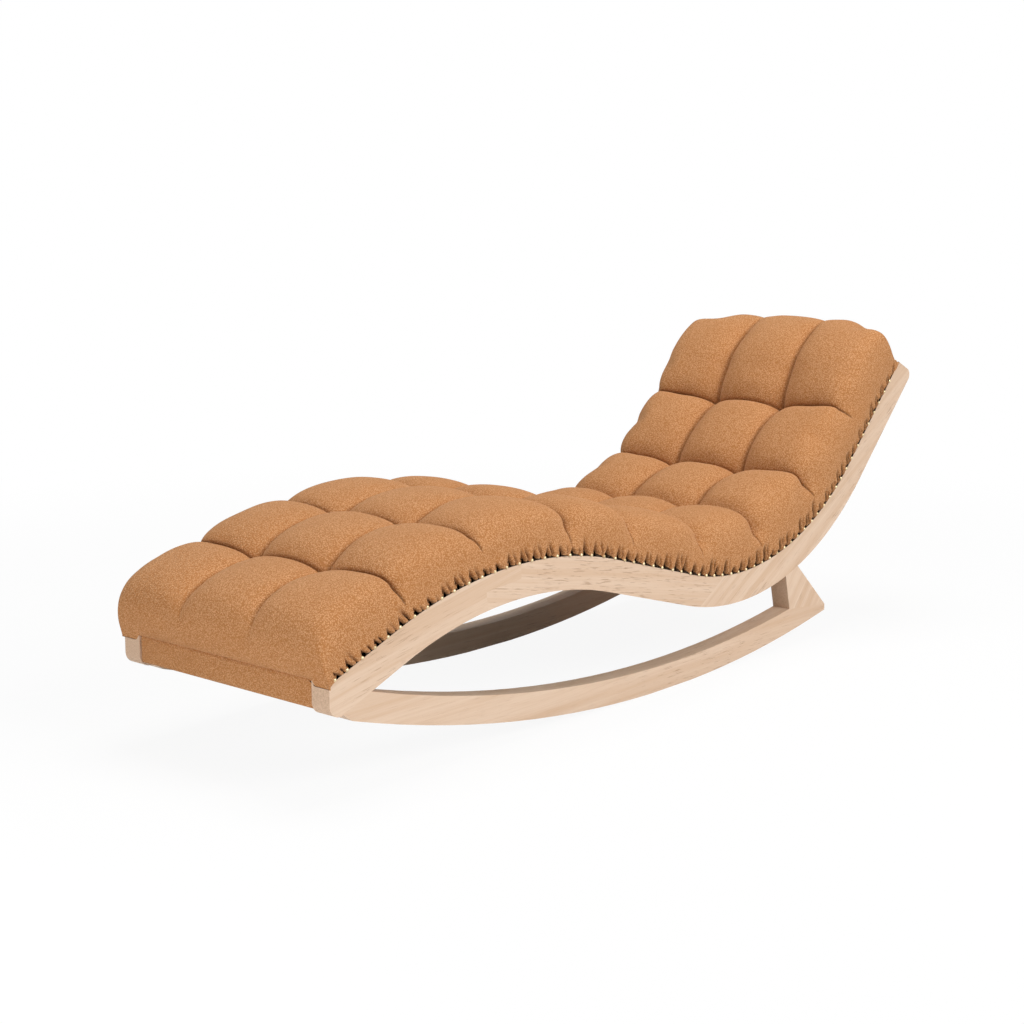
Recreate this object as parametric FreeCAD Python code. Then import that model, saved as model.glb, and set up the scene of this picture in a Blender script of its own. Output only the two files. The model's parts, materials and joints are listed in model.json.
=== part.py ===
import FreeCAD, Part
import math
import os

# Rocking chaise lounge. +X to the sitter's right, -Y at the foot, +Y at the head, +Z up.
# The model is laid out from the front face of the rails' foot ends and moved on saving, so that the
# origin is on the floor under the middle of the overall length. All lengths are in millimetres.

# Width and timber sizes
frame_width = 560.0
rail_thickness = 44.0
rail_depth = 72.0

# Underside of the side rail, from the foot: a rising straight, the knee arc, a falling straight,
# the seat arc and the straight back
foot_corner_height = 141.0
foot_slope = 21.5
foot_straight = 196.0
knee_radius = 918.0
thigh_slope = -15.7
thigh_straight = 277.0
seat_radius = 714.0
back_slope = 45.3
back_straight = 335.0
foot_nose_radius = 23.0
head_cut_back = 26.0
head_lower_radius = 16.0
head_upper_radius = 9.0

# Joints between the three lengths of each rail
lap_start = 425.0
lap_length = 95.0
scarf_start = 1120.0
scarf_length = 95.0

# Rockers and rear posts; the low point and the post's foot are measured from the foot end. At its low
# point each rocker has a flat under a millimetre deep, on which the chair stands still
rocker_radius = 3196.0
rocker_depth = 54.0
rocker_low_point = 982.0
rocker_tip_easing = 22.0
rest_flat_length = 150.0
tail_end_height = 14.0
post_foot_front = 1440.0
post_foot_length = 153.0
post_head_start = 1461.0
post_head_width = 52.0

# Cross members between the rails
cross_thickness = 24.0
cross_rise = 8.0
stretcher_height = 56.0
head_rail_height = 60.0
knee_stretcher_at = 640.0
seat_stretcher_at = 1250.0
back_stretcher_at = 1700.0
head_rail_from_end = 52.0
foot_rail_recess = 6.0
foot_rail_height = 48.0
foot_rail_rise = 23.0
block_leg = 56.0
block_height = 36.0
block_rise = 6.0

# Webbing, hessian and foam, which lie on the rails one on the other
strap_count = 14
strap_width = 50.0
strap_thickness = 2.0
strap_first_at = 75.0
strap_last_from_end = 75.0
strap_side_margin = 6.0
tack_head_radius = 4.0
tack_head_thickness = 1.0
tack_shank_radius = 0.9
tack_length = 14.0
tack_spacing = 24.0
tack_sink = 0.1
hessian_thickness = 1.0
hessian_side_margin = 3.0
foam_thickness = 24.0
foam_side_margin = 4.0

# Tufted pad: the length of each row along the rail, from the foot; the last row takes what is left
row_lengths = (231.0, 190.0, 231.0, 187.0, 256.0, 268.0, 275.0, 264.0)
column_count = 3
pad_side_margin = 1.0
foot_crown = 106.0
back_crown = 141.0
crown_grows_from = 650.0
crown_grows_to = 1450.0
foot_roll_reach = 21.0
foot_roll_drop = 15.0
head_roll_reach = 44.0
head_shoulder_reach = 17.6

# The end rolls' curves pass through a crown, a shoulder and a nose: how far along the row each one is,
# how high it stands as a share of the pad's crown, and the share of the crown at which the head's
# shoulder and nose stand over the rails' ends
foot_crown_at = 0.62
foot_shoulder_at = 0.27
foot_shoulder_rise = 0.86
foot_nose_rise = 0.45
head_crown_at = 0.42
head_shoulder_rise = 0.84
head_nose_rise = 0.36
head_shoulder_over = 0.7
head_nose_over = 0.4

# Cover edge, borders and panels
cover_thickness = 1.5
cover_overlap = 6.0
cover_edge_height = 30.0
cover_end_margin = 2.0
border_thickness = 2.0
dust_cover_thickness = 1.2
back_panel_thickness = 2.5
panel_side_gap = 0.5

# Decorative nails, driven by hand, so that their spacing wanders a little along the row
nail_head_radius = 3.6
nail_head_height = 2.2
nail_shank_radius = 0.8
nail_length = 14.0
nail_pitch = 34.0
nail_wander = 2.4
nail_wander_step = 2.3
nail_first_at = 40.0
nail_from_head_end = 34.0
nail_below_rail_top = 3.4

# Hidden fasteners
dowel_radius = 5.0
dowel_half_length = 28.0
dowel_pair_spacing = 28.0
joint_dowel_half_length = 26.0
post_dowel_half_length = 22.0
post_dowel_spacing = 26.0
screw_radius = 2.5
screw_head_radius = 5.0
screw_head_height = 4.0
scarf_screw_length = 58.0
scarf_screw_count = 3
plug_height = 6.0
block_screw_radius = 2.0
block_screw_length = 36.0
block_rail_screw_at = 0.8
block_cross_screw_at = 0.5
tie_radius = 1.0
tie_washer_radius = 9.0
tie_washer_thickness = 1.4

half_width = frame_width / 2
rail_inner = half_width - rail_thickness
rail_middle = half_width - rail_thickness / 2
sides = (("left", -1), ("right", 1))
Vector = FreeCAD.Vector


class RailLine:
    """The rail's underside from the side, read by the distance along it and the height above it."""

    def __init__(self, start, slope, steps):
        self.spans = []
        self.length = 0.0
        point = start
        angle = math.radians(slope)
        for kind, size, end_slope in steps:
            sweep = math.radians(end_slope) - angle if kind == "arc" else 0.0
            turn = math.copysign(1.0, sweep) / size if kind == "arc" else 0.0
            length = abs(sweep) * size if kind == "arc" else size
            self.spans.append((self.length, length, point, angle, turn))
            point = self.on_span(self.spans[-1], length, 0.0)
            angle += sweep
            self.length += length

    def on_span(self, span, distance, height):
        _, _, (y, z), angle, turn = span
        if turn:
            y += (math.sin(angle + turn * distance) - math.sin(angle)) / turn
            z -= (math.cos(angle + turn * distance) - math.cos(angle)) / turn
        else:
            y += distance * math.cos(angle)
            z += distance * math.sin(angle)
        angle += turn * distance
        return y - height * math.sin(angle), z + height * math.cos(angle)

    def span(self, along):
        return [s for s in self.spans if s[0] <= max(along, 0.0)][-1]

    def at(self, along, height, x=0.0):
        span = self.span(along)
        return Vector(x, *self.on_span(span, along - span[0], height))

    def angle(self, along):
        start, _, _, angle, turn = self.span(along)
        return angle + turn * (along - start)

    def run(self, first, last, height, x=0.0):
        """Edges that follow the line at one height, from first to last, either way round."""
        low, high = sorted((first, last))
        stops = [low] + [s[0] for s in self.spans[1:] if low < s[0] < high] + [high]
        edges = []
        for a, b in zip(stops, stops[1:]):
            if self.span((a + b) / 2)[4]:
                curve = Part.Arc(self.at(a, height, x), self.at((a + b) / 2, height, x), self.at(b, height, x))
            else:
                curve = Part.LineSegment(self.at(a, height, x), self.at(b, height, x))
            edges.append(curve.toShape())
        return edges if first < last else edges[::-1]

    def place(self, shape, along, height, x=0.0):
        """Puts a shape whose own axes are across, along and above the line at a place on it."""
        turn = FreeCAD.Rotation(Vector(1, 0, 0), math.degrees(self.angle(along)))
        placed = shape.copy()
        placed.Placement = FreeCAD.Placement(self.at(along, height, x), turn).multiply(shape.Placement)
        return placed


rail = RailLine(
    (0.0, foot_corner_height),
    foot_slope,
    (
        ("straight", foot_straight, None),
        ("arc", knee_radius, thigh_slope),
        ("straight", thigh_straight, None),
        ("arc", seat_radius, back_slope),
        ("straight", back_straight, None),
    ),
)
foot_lean = math.tan(math.radians(foot_slope))
rail_end = rail.length
head_top_end = rail_end - head_cut_back

# Heights above the rails' underside of what lies on the rails
strap_top = rail_depth + strap_thickness
hessian_bottom = strap_top + tack_head_thickness
pad_bottom = hessian_bottom + hessian_thickness
foam_top = pad_bottom + foam_thickness

saved = {}


def save(name, shape):
    saved[name] = shape


def line(a, b):
    return Part.LineSegment(a, b).toShape()


def arc(a, b, c):
    return Part.Arc(a, b, c).toShape()


def prism(edges, x_from, x_to):
    """A flat outline of edges, drawn at x_from, carried across to x_to."""
    return Part.Face(Part.Wire(edges)).extrude(Vector(x_to - x_from, 0, 0))


def outline(points, x):
    corners = [Vector(x, y, z) for y, z in points]
    return [line(a, b) for a, b in zip(corners, corners[1:] + corners[:1])]


def band(first, last, low, high, x_from, x_to):
    """A strip that follows the rail line between two distances and two heights."""
    edges = rail.run(first, last, low, x_from)
    edges.append(line(rail.at(last, low, x_from), rail.at(last, high, x_from)))
    edges += rail.run(last, first, high, x_from)
    edges.append(line(rail.at(first, high, x_from), rail.at(first, low, x_from)))
    return prism(edges, x_from, x_to)


def climb(points, x):
    """Edges through places given by distance and height; level steps follow the rail line."""
    edges = []
    for (a, low), (b, high) in zip(points, points[1:]):
        if low == high:
            edges += rail.run(a, b, low, x)
        else:
            edges.append(line(rail.at(a, low, x), rail.at(b, high, x)))
    return edges


def rounded(shape, corners, x):
    """Rounds the corners that run across the shape at the given places."""
    for place, radius in corners:
        near = [e for e in shape.Edges if all(v.Point.distanceToPoint(Vector(v.X, place.y, place.z)) < 0.01
                                              for v in e.Vertexes)]
        shape = shape.makeFillet(radius, near)
    return shape


def rail_lengths(x):
    """The three lengths of one side rail, with the lap and the scarf between them."""
    x_to = x + rail_thickness
    middle = rail_depth / 2
    foot = [(0.0, 0.0), (rail_depth * foot_lean, rail_depth)]
    lap = [(lap_start, 0.0), (lap_start, middle), (lap_start + lap_length, middle),
           (lap_start + lap_length, rail_depth)]
    scarf = [(scarf_start, 0.0), (scarf_start + scarf_length, rail_depth)]
    head = [(rail_end, 0.0), (head_top_end, rail_depth)]
    pieces = []
    for front, back in ((foot, lap), (lap, scarf), (scarf, head)):
        edges = rail.run(front[0][0], back[0][0], 0.0, x) + climb(back, x)
        edges += rail.run(back[-1][0], front[-1][0], rail_depth, x) + climb(front[::-1], x)
        pieces.append(prism(edges, x, x_to))
    pieces[0] = rounded(pieces[0], [(rail.at(0.0, 0.0), foot_nose_radius)], x)
    pieces[2] = rounded(pieces[2], [(rail.at(rail_end, 0.0), head_lower_radius),
                                    (rail.at(head_top_end, rail_depth), head_upper_radius)], x)
    return pieces


def rocker_height(y, radius):
    """Height of a circle about the rocker's centre, on its lower side."""
    return rocker_radius - math.sqrt(radius ** 2 - (y - rocker_low_point) ** 2)


def on_rocker(y, radius, x):
    return Vector(x, y, rocker_height(y, radius))


def scarf_meets(radius):
    """Distance along the rail's first straight at which it crosses a circle of the rocker."""
    slope = math.radians(foot_slope)
    y = -rocker_low_point
    z = foot_corner_height - rocker_radius
    half = y * math.cos(slope) + z * math.sin(slope)
    return -half - math.sqrt(half ** 2 - (y ** 2 + z ** 2 - radius ** 2))


rocker_top_radius = rocker_radius - rocker_depth
tail_reach = post_foot_front + post_foot_length
rocker_tip_start = foot_nose_radius / math.tan(math.radians((90.0 - foot_slope) / 2))
post_seat_front = (post_foot_front, rocker_height(post_foot_front, rocker_top_radius))
post_seat_rear = (tail_reach, rocker_height(tail_reach, rocker_radius) + tail_end_height)


def rocker(x):
    tip = rail.at(rocker_tip_start, 0.0, x)
    eased = on_rocker(tip.y + rocker_tip_easing, rocker_radius, x)
    heel = rail.at(scarf_meets(rocker_top_radius), 0.0, x)
    seat_front = Vector(x, *post_seat_front)
    seat_rear = Vector(x, *post_seat_rear)
    tail = on_rocker(tail_reach, rocker_radius, x)
    flat_front = on_rocker(rocker_low_point - rest_flat_length / 2, rocker_radius, x)
    flat_rear = on_rocker(rocker_low_point + rest_flat_length / 2, rocker_radius, x)
    front_middle = on_rocker((eased.y + flat_front.y) / 2, rocker_radius, x)
    rear_middle = on_rocker((flat_rear.y + tail.y) / 2, rocker_radius, x)
    top = on_rocker(rocker_low_point, rocker_top_radius, x)
    edges = [
        line(tip, eased),
        arc(eased, front_middle, flat_front),
        line(flat_front, flat_rear),
        arc(flat_rear, rear_middle, tail),
        line(tail, seat_rear),
        line(seat_rear, seat_front),
        arc(seat_front, top, heel),
        line(heel, tip),
    ]
    return prism(edges, x, x + rail_thickness)


def rear_post(x):
    seat_front = Vector(x, *post_seat_front)
    seat_rear = Vector(x, *post_seat_rear)
    head_end = post_head_start + post_head_width
    edges = [line(seat_front, seat_rear), line(seat_rear, rail.at(head_end, 0.0, x))]
    edges += rail.run(head_end, post_head_start, 0.0, x)
    edges.append(line(rail.at(post_head_start, 0.0, x), seat_front))
    return prism(edges, x, x + rail_thickness)


def stretcher(along, height):
    half = cross_thickness / 2
    return band(along - half, along + half, cross_rise, cross_rise + height, -rail_inner, rail_inner)


foot_rail_bottom = foot_corner_height + foot_rail_rise
foot_rail_back = foot_rail_recess + cross_thickness


def foot_cross_rail():
    top = foot_rail_bottom + foot_rail_height
    corners = [(foot_rail_recess, foot_rail_bottom), (foot_rail_back, foot_rail_bottom),
               (foot_rail_back, top), (foot_rail_recess, top)]
    return prism(outline(corners, -rail_inner), -rail_inner, rail_inner)


def cylinder(radius, length, start, direction):
    return Part.makeCylinder(radius, length, start, direction)


def pin(radius, half_length, middle, direction):
    """A dowel about its middle."""
    direction = direction.normalize()
    return cylinder(radius, 2 * half_length, middle - direction * half_length, direction)


def group(solids):
    return Part.makeCompound(solids)


stretcher_middle = cross_rise + stretcher_height / 2
head_rail_at = rail_end - head_rail_from_end
members = (
    [(rail.at(at, stretcher_middle), rail.angle(at)) for at in (knee_stretcher_at, seat_stretcher_at,
                                                                back_stretcher_at)]
    + [(rail.at(head_rail_at, cross_rise + head_rail_height / 2), rail.angle(head_rail_at))]
    + [(Vector(0, foot_rail_recess + cross_thickness / 2, foot_rail_bottom + foot_rail_height / 2), 0.0)]
)


def cross_rail_dowels():
    """Two dowels at each end of each cross member, one above the other."""
    solids = []
    for middle, slope in members:
        up = Vector(0, -math.sin(slope), math.cos(slope))
        for _, side in sides:
            for step in (-0.5, 0.5):
                centre = middle + up * (step * dowel_pair_spacing) + Vector(side * rail_inner, 0, 0)
                solids.append(pin(dowel_radius, dowel_half_length, centre, Vector(1, 0, 0)))
    return group(solids)


def rail_joint_dowels():
    """Two dowels through each lap and each scarf."""
    solids = []
    lap_middle = lap_start + lap_length / 2
    scarf_middle = scarf_start + scarf_length / 2
    for _, side in sides:
        for step in (-0.25, 0.25):
            for at, length in ((lap_middle, lap_length), (scarf_middle, scarf_length)):
                centre = rail.at(at + step * length, rail_depth / 2, side * rail_middle)
                slope = rail.angle(at + step * length)
                up = Vector(0, -math.sin(slope), math.cos(slope))
                reach = joint_dowel_half_length if at == lap_middle else joint_dowel_half_length / 2
                if at == scarf_middle:
                    centre = rail.at(at + step * length, rail_depth * (0.5 + step), side * rail_middle)
                solids.append(pin(dowel_radius, reach, centre, up))
    return group(solids)


def post_dowels():
    """Two dowels under each post into the rocker's tail and two above it into the rail."""
    solids = []
    front_y, front_z = post_seat_front
    rear_y, rear_z = post_seat_rear
    seat = Vector(0, rear_y - front_y, rear_z - front_z).normalize()
    square = Vector(0, -seat.z, seat.y)
    head_middle = post_head_start + post_head_width / 2
    for _, side in sides:
        for step in (0.5, 1.5):
            foot = Vector(side * rail_middle, front_y, front_z) + seat * (step * post_dowel_spacing)
            solids.append(pin(dowel_radius, post_dowel_half_length, foot, square))
        for step in (-0.5, 0.5):
            at = head_middle + step * post_dowel_spacing
            slope = rail.angle(at)
            up = Vector(0, -math.sin(slope), math.cos(slope))
            solids.append(pin(dowel_radius, post_dowel_half_length, rail.at(at, 0, side * rail_middle), up))
    return group(solids)


def scarf_screw_places():
    first = scarf_meets(rocker_radius)
    last = scarf_meets(rocker_top_radius)
    for _, side in sides:
        for number in range(scarf_screw_count):
            share = (number + 1.3) / (scarf_screw_count + 1)
            on_scarf = rail.at(first + share * (last - first), 0.0, side * rail_middle)
            yield on_scarf, Vector(side * rail_middle, on_scarf.y, rocker_height(on_scarf.y, rocker_radius))


def scarf_screws():
    """Screws driven up from the rocker's underside into the rail, with their heads sunk."""
    solids = []
    for on_scarf, under in scarf_screw_places():
        up = Vector(0, 0, 1)
        shank = cylinder(screw_radius, scarf_screw_length, under + up * plug_height, up)
        head = cylinder(screw_head_radius, screw_head_height, under + up * plug_height, up)
        solids.append(shank.fuse(head))
    return group(solids)


def screw_plugs():
    """Wood plugs over the sunk screws, cut to the rocker's running edge."""
    solids = []
    for _, under in scarf_screw_places():
        up = Vector(0, 0, 1)
        plug = cylinder(screw_head_radius, 2 * plug_height, under - up * plug_height, up)
        x = under.x - rail_thickness / 2
        solids.append(plug.common(rocker(x)))
    return group(solids)


def corner_block_places():
    """Each block's corner, its direction along the rail, the side it is on and its upward direction."""
    head_front = head_rail_at - cross_thickness / 2
    slope = rail.angle(head_front)
    foot_along, head_along = (Vector(0, math.cos(a), math.sin(a)) for a in (math.radians(foot_slope), slope))
    for _, side in sides:
        x = side * rail_inner
        low = foot_rail_bottom + block_rise
        yield Vector(x, foot_rail_back, low), foot_along, side, Vector(0, 0, 1)
        corner = rail.at(head_front, cross_rise + block_rise, x)
        yield corner, head_along * -1, side, Vector(0, -math.sin(slope), math.cos(slope))


def corner_blocks():
    """Three-cornered blocks glued behind the foot cross rail and in front of the head cross rail."""
    solids = []
    for corner, away, side, up in corner_block_places():
        points = [corner, corner + away * block_leg, corner - Vector(side * block_leg, 0, 0)]
        edges = [line(a, b) for a, b in zip(points, points[1:] + points[:1])]
        solids.append(Part.Face(Part.Wire(edges)).extrude(up * block_height))
    return group(solids)


def block_screws():
    """A screw from each corner block into the rail and one into the cross rail."""
    solids = []
    third = block_leg / 3
    for corner, away, side, up in corner_block_places():
        out = Vector(side, 0, 0)
        rail_screw = corner + away * third + up * (block_height * block_rail_screw_at)
        cross_screw = corner - out * third + up * (block_height * block_cross_screw_at)
        square = out.cross(up)
        solids.append(pin(block_screw_radius, block_screw_length / 2, rail_screw, out))
        solids.append(pin(block_screw_radius, block_screw_length / 2, cross_screw, square))
    return group(solids)


def strap_places():
    step = (rail_end - strap_first_at - strap_last_from_end) / (strap_count - 1)
    return [strap_first_at + step * number for number in range(strap_count)]


def strap(along):
    reach = half_width - strap_side_margin
    half = strap_width / 2
    return band(along - half, along + half, rail_depth, strap_top, -reach, reach)


def webbing_tacks():
    """Two tacks through each end of each strap into the top of the rail."""
    head = cylinder(tack_head_radius, tack_head_thickness, Vector(0, 0, 0), Vector(0, 0, 1))
    shank = cylinder(tack_shank_radius, tack_length, Vector(0, 0, -tack_length), Vector(0, 0, 1))
    tack = head.fuse(shank).removeSplitter()
    return group([
        rail.place(tack, along + step * tack_spacing, strap_top - tack_sink, side * rail_middle)
        for along in strap_places()
        for _, side in sides
        for step in (-0.5, 0.5)
    ])


row_starts = [sum(row_lengths[:n]) for n in range(1, len(row_lengths) + 1)]
pad_half_width = half_width - pad_side_margin
column_width = 2 * pad_half_width / column_count
column_seams = [-pad_half_width + column_width * n for n in range(1, column_count)]

# Across one column from its seam or edge to its middle: the share of the full crown at the row's
# middle and at the channel between two rows
seam_shares = (0.86, 0.52)
middle_shares = (1.0, 0.78)
edge_profile = (
    (0.0, 0.52, 0.42),
    (12.0, 0.76, 0.58),
    (36.0, 0.92, 0.68),
)


def full_crown(along):
    share = min(max((along - crown_grows_from) / (crown_grows_to - crown_grows_from), 0.0), 1.0)
    return foot_crown + (back_crown - foot_crown) * share


def pad_sections():
    """Places across the pad with the share of the crown at the row's middle and at its channels."""
    places = []
    for inset, top, channel in edge_profile:
        places.append((-pad_half_width + inset, top, channel))
        places.append((pad_half_width - inset, top, channel))
    for number in range(column_count):
        places.append((-pad_half_width + column_width * (number + 0.5),) + middle_shares)
    for x in column_seams:
        places.append((x,) + seam_shares)
    return sorted(places)


def middle_row(first, last):
    wires = []
    middle = (first + last) / 2
    for x, top, channel in pad_sections():
        low_front = rail.at(first, foam_top, x)
        low_back = rail.at(last, foam_top, x)
        front = rail.at(first, rail_depth + full_crown(first) * channel, x)
        back = rail.at(last, rail_depth + full_crown(last) * channel, x)
        crown = rail.at(middle, rail_depth + full_crown(middle) * top, x)
        edges = rail.run(first, last, foam_top, x)
        edges += [line(low_back, back), arc(back, crown, front), line(front, low_front)]
        wires.append(Part.Wire(edges))
    return Part.makeLoft(wires, True, False)


def foot_row(last):
    """The first row, which rolls over the foot end and tucks in above the foot border."""
    tuck_y = foot_rail_recess - border_thickness
    slope = math.radians(foot_slope)
    bottom_start = (tuck_y + pad_bottom * math.sin(slope)) / math.cos(slope)
    wires = []
    for x, top, channel in pad_sections():
        tuck = rail.at(bottom_start, pad_bottom, x)
        crease = tuck - Vector(0, 0, foot_roll_drop)
        back = rail.at(last, rail_depth + full_crown(last) * channel, x)
        crown = rail.at(last * foot_crown_at, rail_depth + foot_crown * top, x)
        shoulder = rail.at(last * foot_shoulder_at, rail_depth + foot_crown * top * foot_shoulder_rise, x)
        nose_y = tuck_y - (tuck_y + foot_roll_reach) * top
        nose = Vector(x, nose_y, crease.z + (shoulder.z - crease.z) * foot_nose_rise)
        edges = rail.run(bottom_start, last, pad_bottom, x)
        edges += [line(rail.at(last, pad_bottom, x), back), arc(back, crown, shoulder),
                  arc(shoulder, nose, crease), line(crease, tuck)]
        wires.append(Part.Wire(edges))
    return Part.makeLoft(wires, True, False)


def head_row(first):
    """The last row, which rolls over the head end and comes down to the head cross rail."""
    bottom_end = head_top_end + head_cut_back * (pad_bottom - rail_depth) / -rail_depth
    wires = []
    for x, top, channel in pad_sections():
        low = rail.at(bottom_end, pad_bottom, x)
        front = rail.at(first, rail_depth + full_crown(first) * channel, x)
        row = bottom_end - first
        crown = rail.at(first + row * head_crown_at, rail_depth + back_crown * top, x)
        shoulder = rail.at(bottom_end + head_shoulder_reach * (top - head_shoulder_over),
                           rail_depth + back_crown * top * head_shoulder_rise, x)
        nose = rail.at(bottom_end + head_roll_reach * (top - head_nose_over) / (1.0 - head_nose_over),
                       pad_bottom + back_crown * top * head_nose_rise, x)
        edges = rail.run(first, bottom_end, pad_bottom, x)
        edges += [arc(low, nose, shoulder), arc(shoulder, crown, front),
                  line(front, rail.at(first, pad_bottom, x))]
        wires.append(Part.Wire(edges))
    return Part.makeLoft(wires, True, False)


def tuft_ties():
    """Twine from a washer under the hessian up through the foam, at each pulled-in point."""
    washer = cylinder(tie_washer_radius, tie_washer_thickness, Vector(0, 0, -tie_washer_thickness),
                      Vector(0, 0, 1))
    twine = cylinder(tie_radius, foam_top - rail_depth, Vector(0, 0, 0), Vector(0, 0, 1))
    tie = washer.fuse(twine).removeSplitter()
    return group([rail.place(tie, along, rail_depth, x) for along in row_starts for x in column_seams])


def cover_edge(side):
    start = half_width * side
    first = foot_lean * rail_depth
    low = rail_depth - cover_overlap
    return band(first, head_top_end - cover_end_margin, low, rail_depth + cover_edge_height, start,
                start + cover_thickness * side)


def dome_nail():
    """A nail with its dome on the origin's +X side and its shank behind."""
    radius = (nail_head_radius ** 2 + nail_head_height ** 2) / (2 * nail_head_height)
    rim = math.degrees(math.asin((radius - nail_head_height) / radius))
    dome = Part.makeSphere(radius, Vector(0, 0, nail_head_height - radius), Vector(0, 0, 1), rim, 90, 360)
    shank = cylinder(nail_shank_radius, nail_length, Vector(0, 0, -nail_length), Vector(0, 0, 1))
    nail = dome.fuse(shank)
    nail.rotate(Vector(0, 0, 0), Vector(0, 1, 0), 90)
    return nail


def nail_row(side):
    count = int((head_top_end - nail_from_head_end - nail_first_at) // nail_pitch) + 1
    nail = dome_nail()
    if side < 0:
        nail.rotate(Vector(0, 0, 0), Vector(0, 0, 1), 180)
    x = (half_width + cover_thickness) * side
    height = rail_depth - nail_below_rail_top
    wander = [nail_wander * math.sin(nail_wander_step * n * (n + side)) for n in range(count)]
    return group([
        rail.place(nail, nail_first_at + nail_pitch * n + shift, height, x) for n, shift in enumerate(wander)
    ])


def foot_border():
    front = foot_rail_recess - border_thickness
    top = foot_rail_bottom + foot_rail_height
    bottom = foot_rail_bottom - border_thickness
    reach = rail_inner - panel_side_gap
    corners = [(front, bottom), (foot_rail_back, bottom), (foot_rail_back, foot_rail_bottom),
               (foot_rail_recess, foot_rail_bottom), (foot_rail_recess, top), (front, top)]
    return prism(outline(corners, -reach), -reach, reach)


def panel(first, last, low, high):
    reach = rail_inner - panel_side_gap
    return band(first, last, low, high, -reach, reach)


def without(shape, tools):
    for tool in tools:
        shape = shape.cut(tool)
    return shape


def solids_of(shape):
    return group(shape.Solids) if len(shape.Solids) > 1 else shape.Solids[0]


def build():
    dowels = cross_rail_dowels()
    joint_dowels = rail_joint_dowels()
    posts = post_dowels()
    screws = scarf_screws()
    plugs = screw_plugs()
    small_screws = block_screws()
    tacks = webbing_tacks()
    ties = tuft_ties()
    left_foot = rail_lengths(-half_width)[0]
    right_foot = rail_lengths(rail_inner)[0]
    for name, side in sides:
        x = rail_inner if side > 0 else -half_width
        nails = nail_row(side)
        save("nail_row_" + name, nails)
        for length, solid in zip(("foot", "seat", "back"), rail_lengths(x)):
            solid = without(solid, (dowels, joint_dowels, posts, screws, small_screws, tacks, nails))
            save("side_rail_%s_%s" % (length, name), solid)
        save("rocker_" + name, without(rocker(x), (posts, screws, plugs)))
        save("rear_post_" + name, without(rear_post(x), (posts,)))
        save("cover_edge_" + name, without(cover_edge(side), (nails,)))
    save("foot_cross_rail", without(foot_cross_rail(), (dowels, small_screws)))
    save("knee_stretcher", without(stretcher(knee_stretcher_at, stretcher_height), (dowels,)))
    save("seat_stretcher", without(stretcher(seat_stretcher_at, stretcher_height), (dowels,)))
    save("back_stretcher", without(stretcher(back_stretcher_at, stretcher_height), (dowels,)))
    save("head_cross_rail", without(stretcher(head_rail_at, head_rail_height), (dowels, small_screws)))
    save("corner_blocks", without(corner_blocks(), (small_screws,)))
    save("corner_block_screws", small_screws)
    save("cross_rail_dowels", dowels)
    save("rail_joint_dowels", joint_dowels)
    save("post_dowels", posts)
    save("scarf_screws", screws)
    save("screw_plugs", plugs)
    for number, along in enumerate(strap_places(), 1):
        save("webbing_strap_%02d" % number, without(strap(along), (tacks, ties)))
    save("webbing_tacks", tacks)
    save("tuft_ties", ties)
    hessian_reach = half_width - hessian_side_margin
    foam_reach = half_width - foam_side_margin
    hessian = band(foot_lean * rail_depth + cross_thickness, head_top_end, hessian_bottom, pad_bottom,
                   -hessian_reach, hessian_reach)
    save("hessian", without(hessian, (ties,)))
    foam = band(row_starts[0], row_starts[-1], pad_bottom, foam_top, -foam_reach, foam_reach)
    save("foam_core", without(foam, (ties,)))
    save("pad_row_1", without(foot_row(row_starts[0]), (ties, left_foot, right_foot)))
    for number, (first, last) in enumerate(zip(row_starts, row_starts[1:]), 2):
        save("pad_row_%d" % number, middle_row(first, last))
    save("pad_row_%d" % (len(row_starts) + 1), without(head_row(row_starts[-1]), (ties,)))
    save("foot_border", foot_border())
    head_back = head_rail_at + cross_thickness / 2
    save("head_border", panel(head_back, head_back + border_thickness, cross_rise - back_panel_thickness,
                              cross_rise + head_rail_height))
    save("outside_back_panel", panel(seat_stretcher_at, head_back, cross_rise - back_panel_thickness,
                                     cross_rise))
    save("dust_cover", panel(foot_rail_back / math.cos(math.radians(foot_slope)) + cross_thickness,
                             seat_stretcher_at, cross_rise - dust_cover_thickness, cross_rise))


def reach_along(shape):
    """The shape's first and last place from foot to head."""
    fineness = 0.1
    places = [point.y for point in shape.tessellate(fineness)[0]]
    return min(places), max(places)


build()
os.makedirs("parts", exist_ok=True)
model_front = reach_along(saved["pad_row_1"])[0]
model_rear = reach_along(saved["side_rail_back_left"])[1]
floor_height = rocker_height(rocker_low_point + rest_flat_length / 2, rocker_radius)
offset = Vector(0, -(model_front + model_rear) / 2, -floor_height)
for name, shape in saved.items():
    shape = solids_of(shape)
    shape.translate(offset)
    shape.exportStep("parts/%s.step" % name)
print(len(saved), "nodes, moved by", round(offset.y, 3), round(offset.z, 3))
print("rail length", round(rail_end, 2))
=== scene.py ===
# %% [markdown]
# This script dresses a rocking chaise lounge. The timber parts, the nails and everything hidden under the
# cover come from the CAD model and keep their shape; Blender gives them their finish. The tufted pad is
# made here as cloth, because a solid cannot show how fabric swells between its tufts. Everything is in
# metres, with the foot of the chaise towards -Y, the head towards +Y and the floor at Z = 0.

# %% Load the chaise
import json
import math

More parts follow.
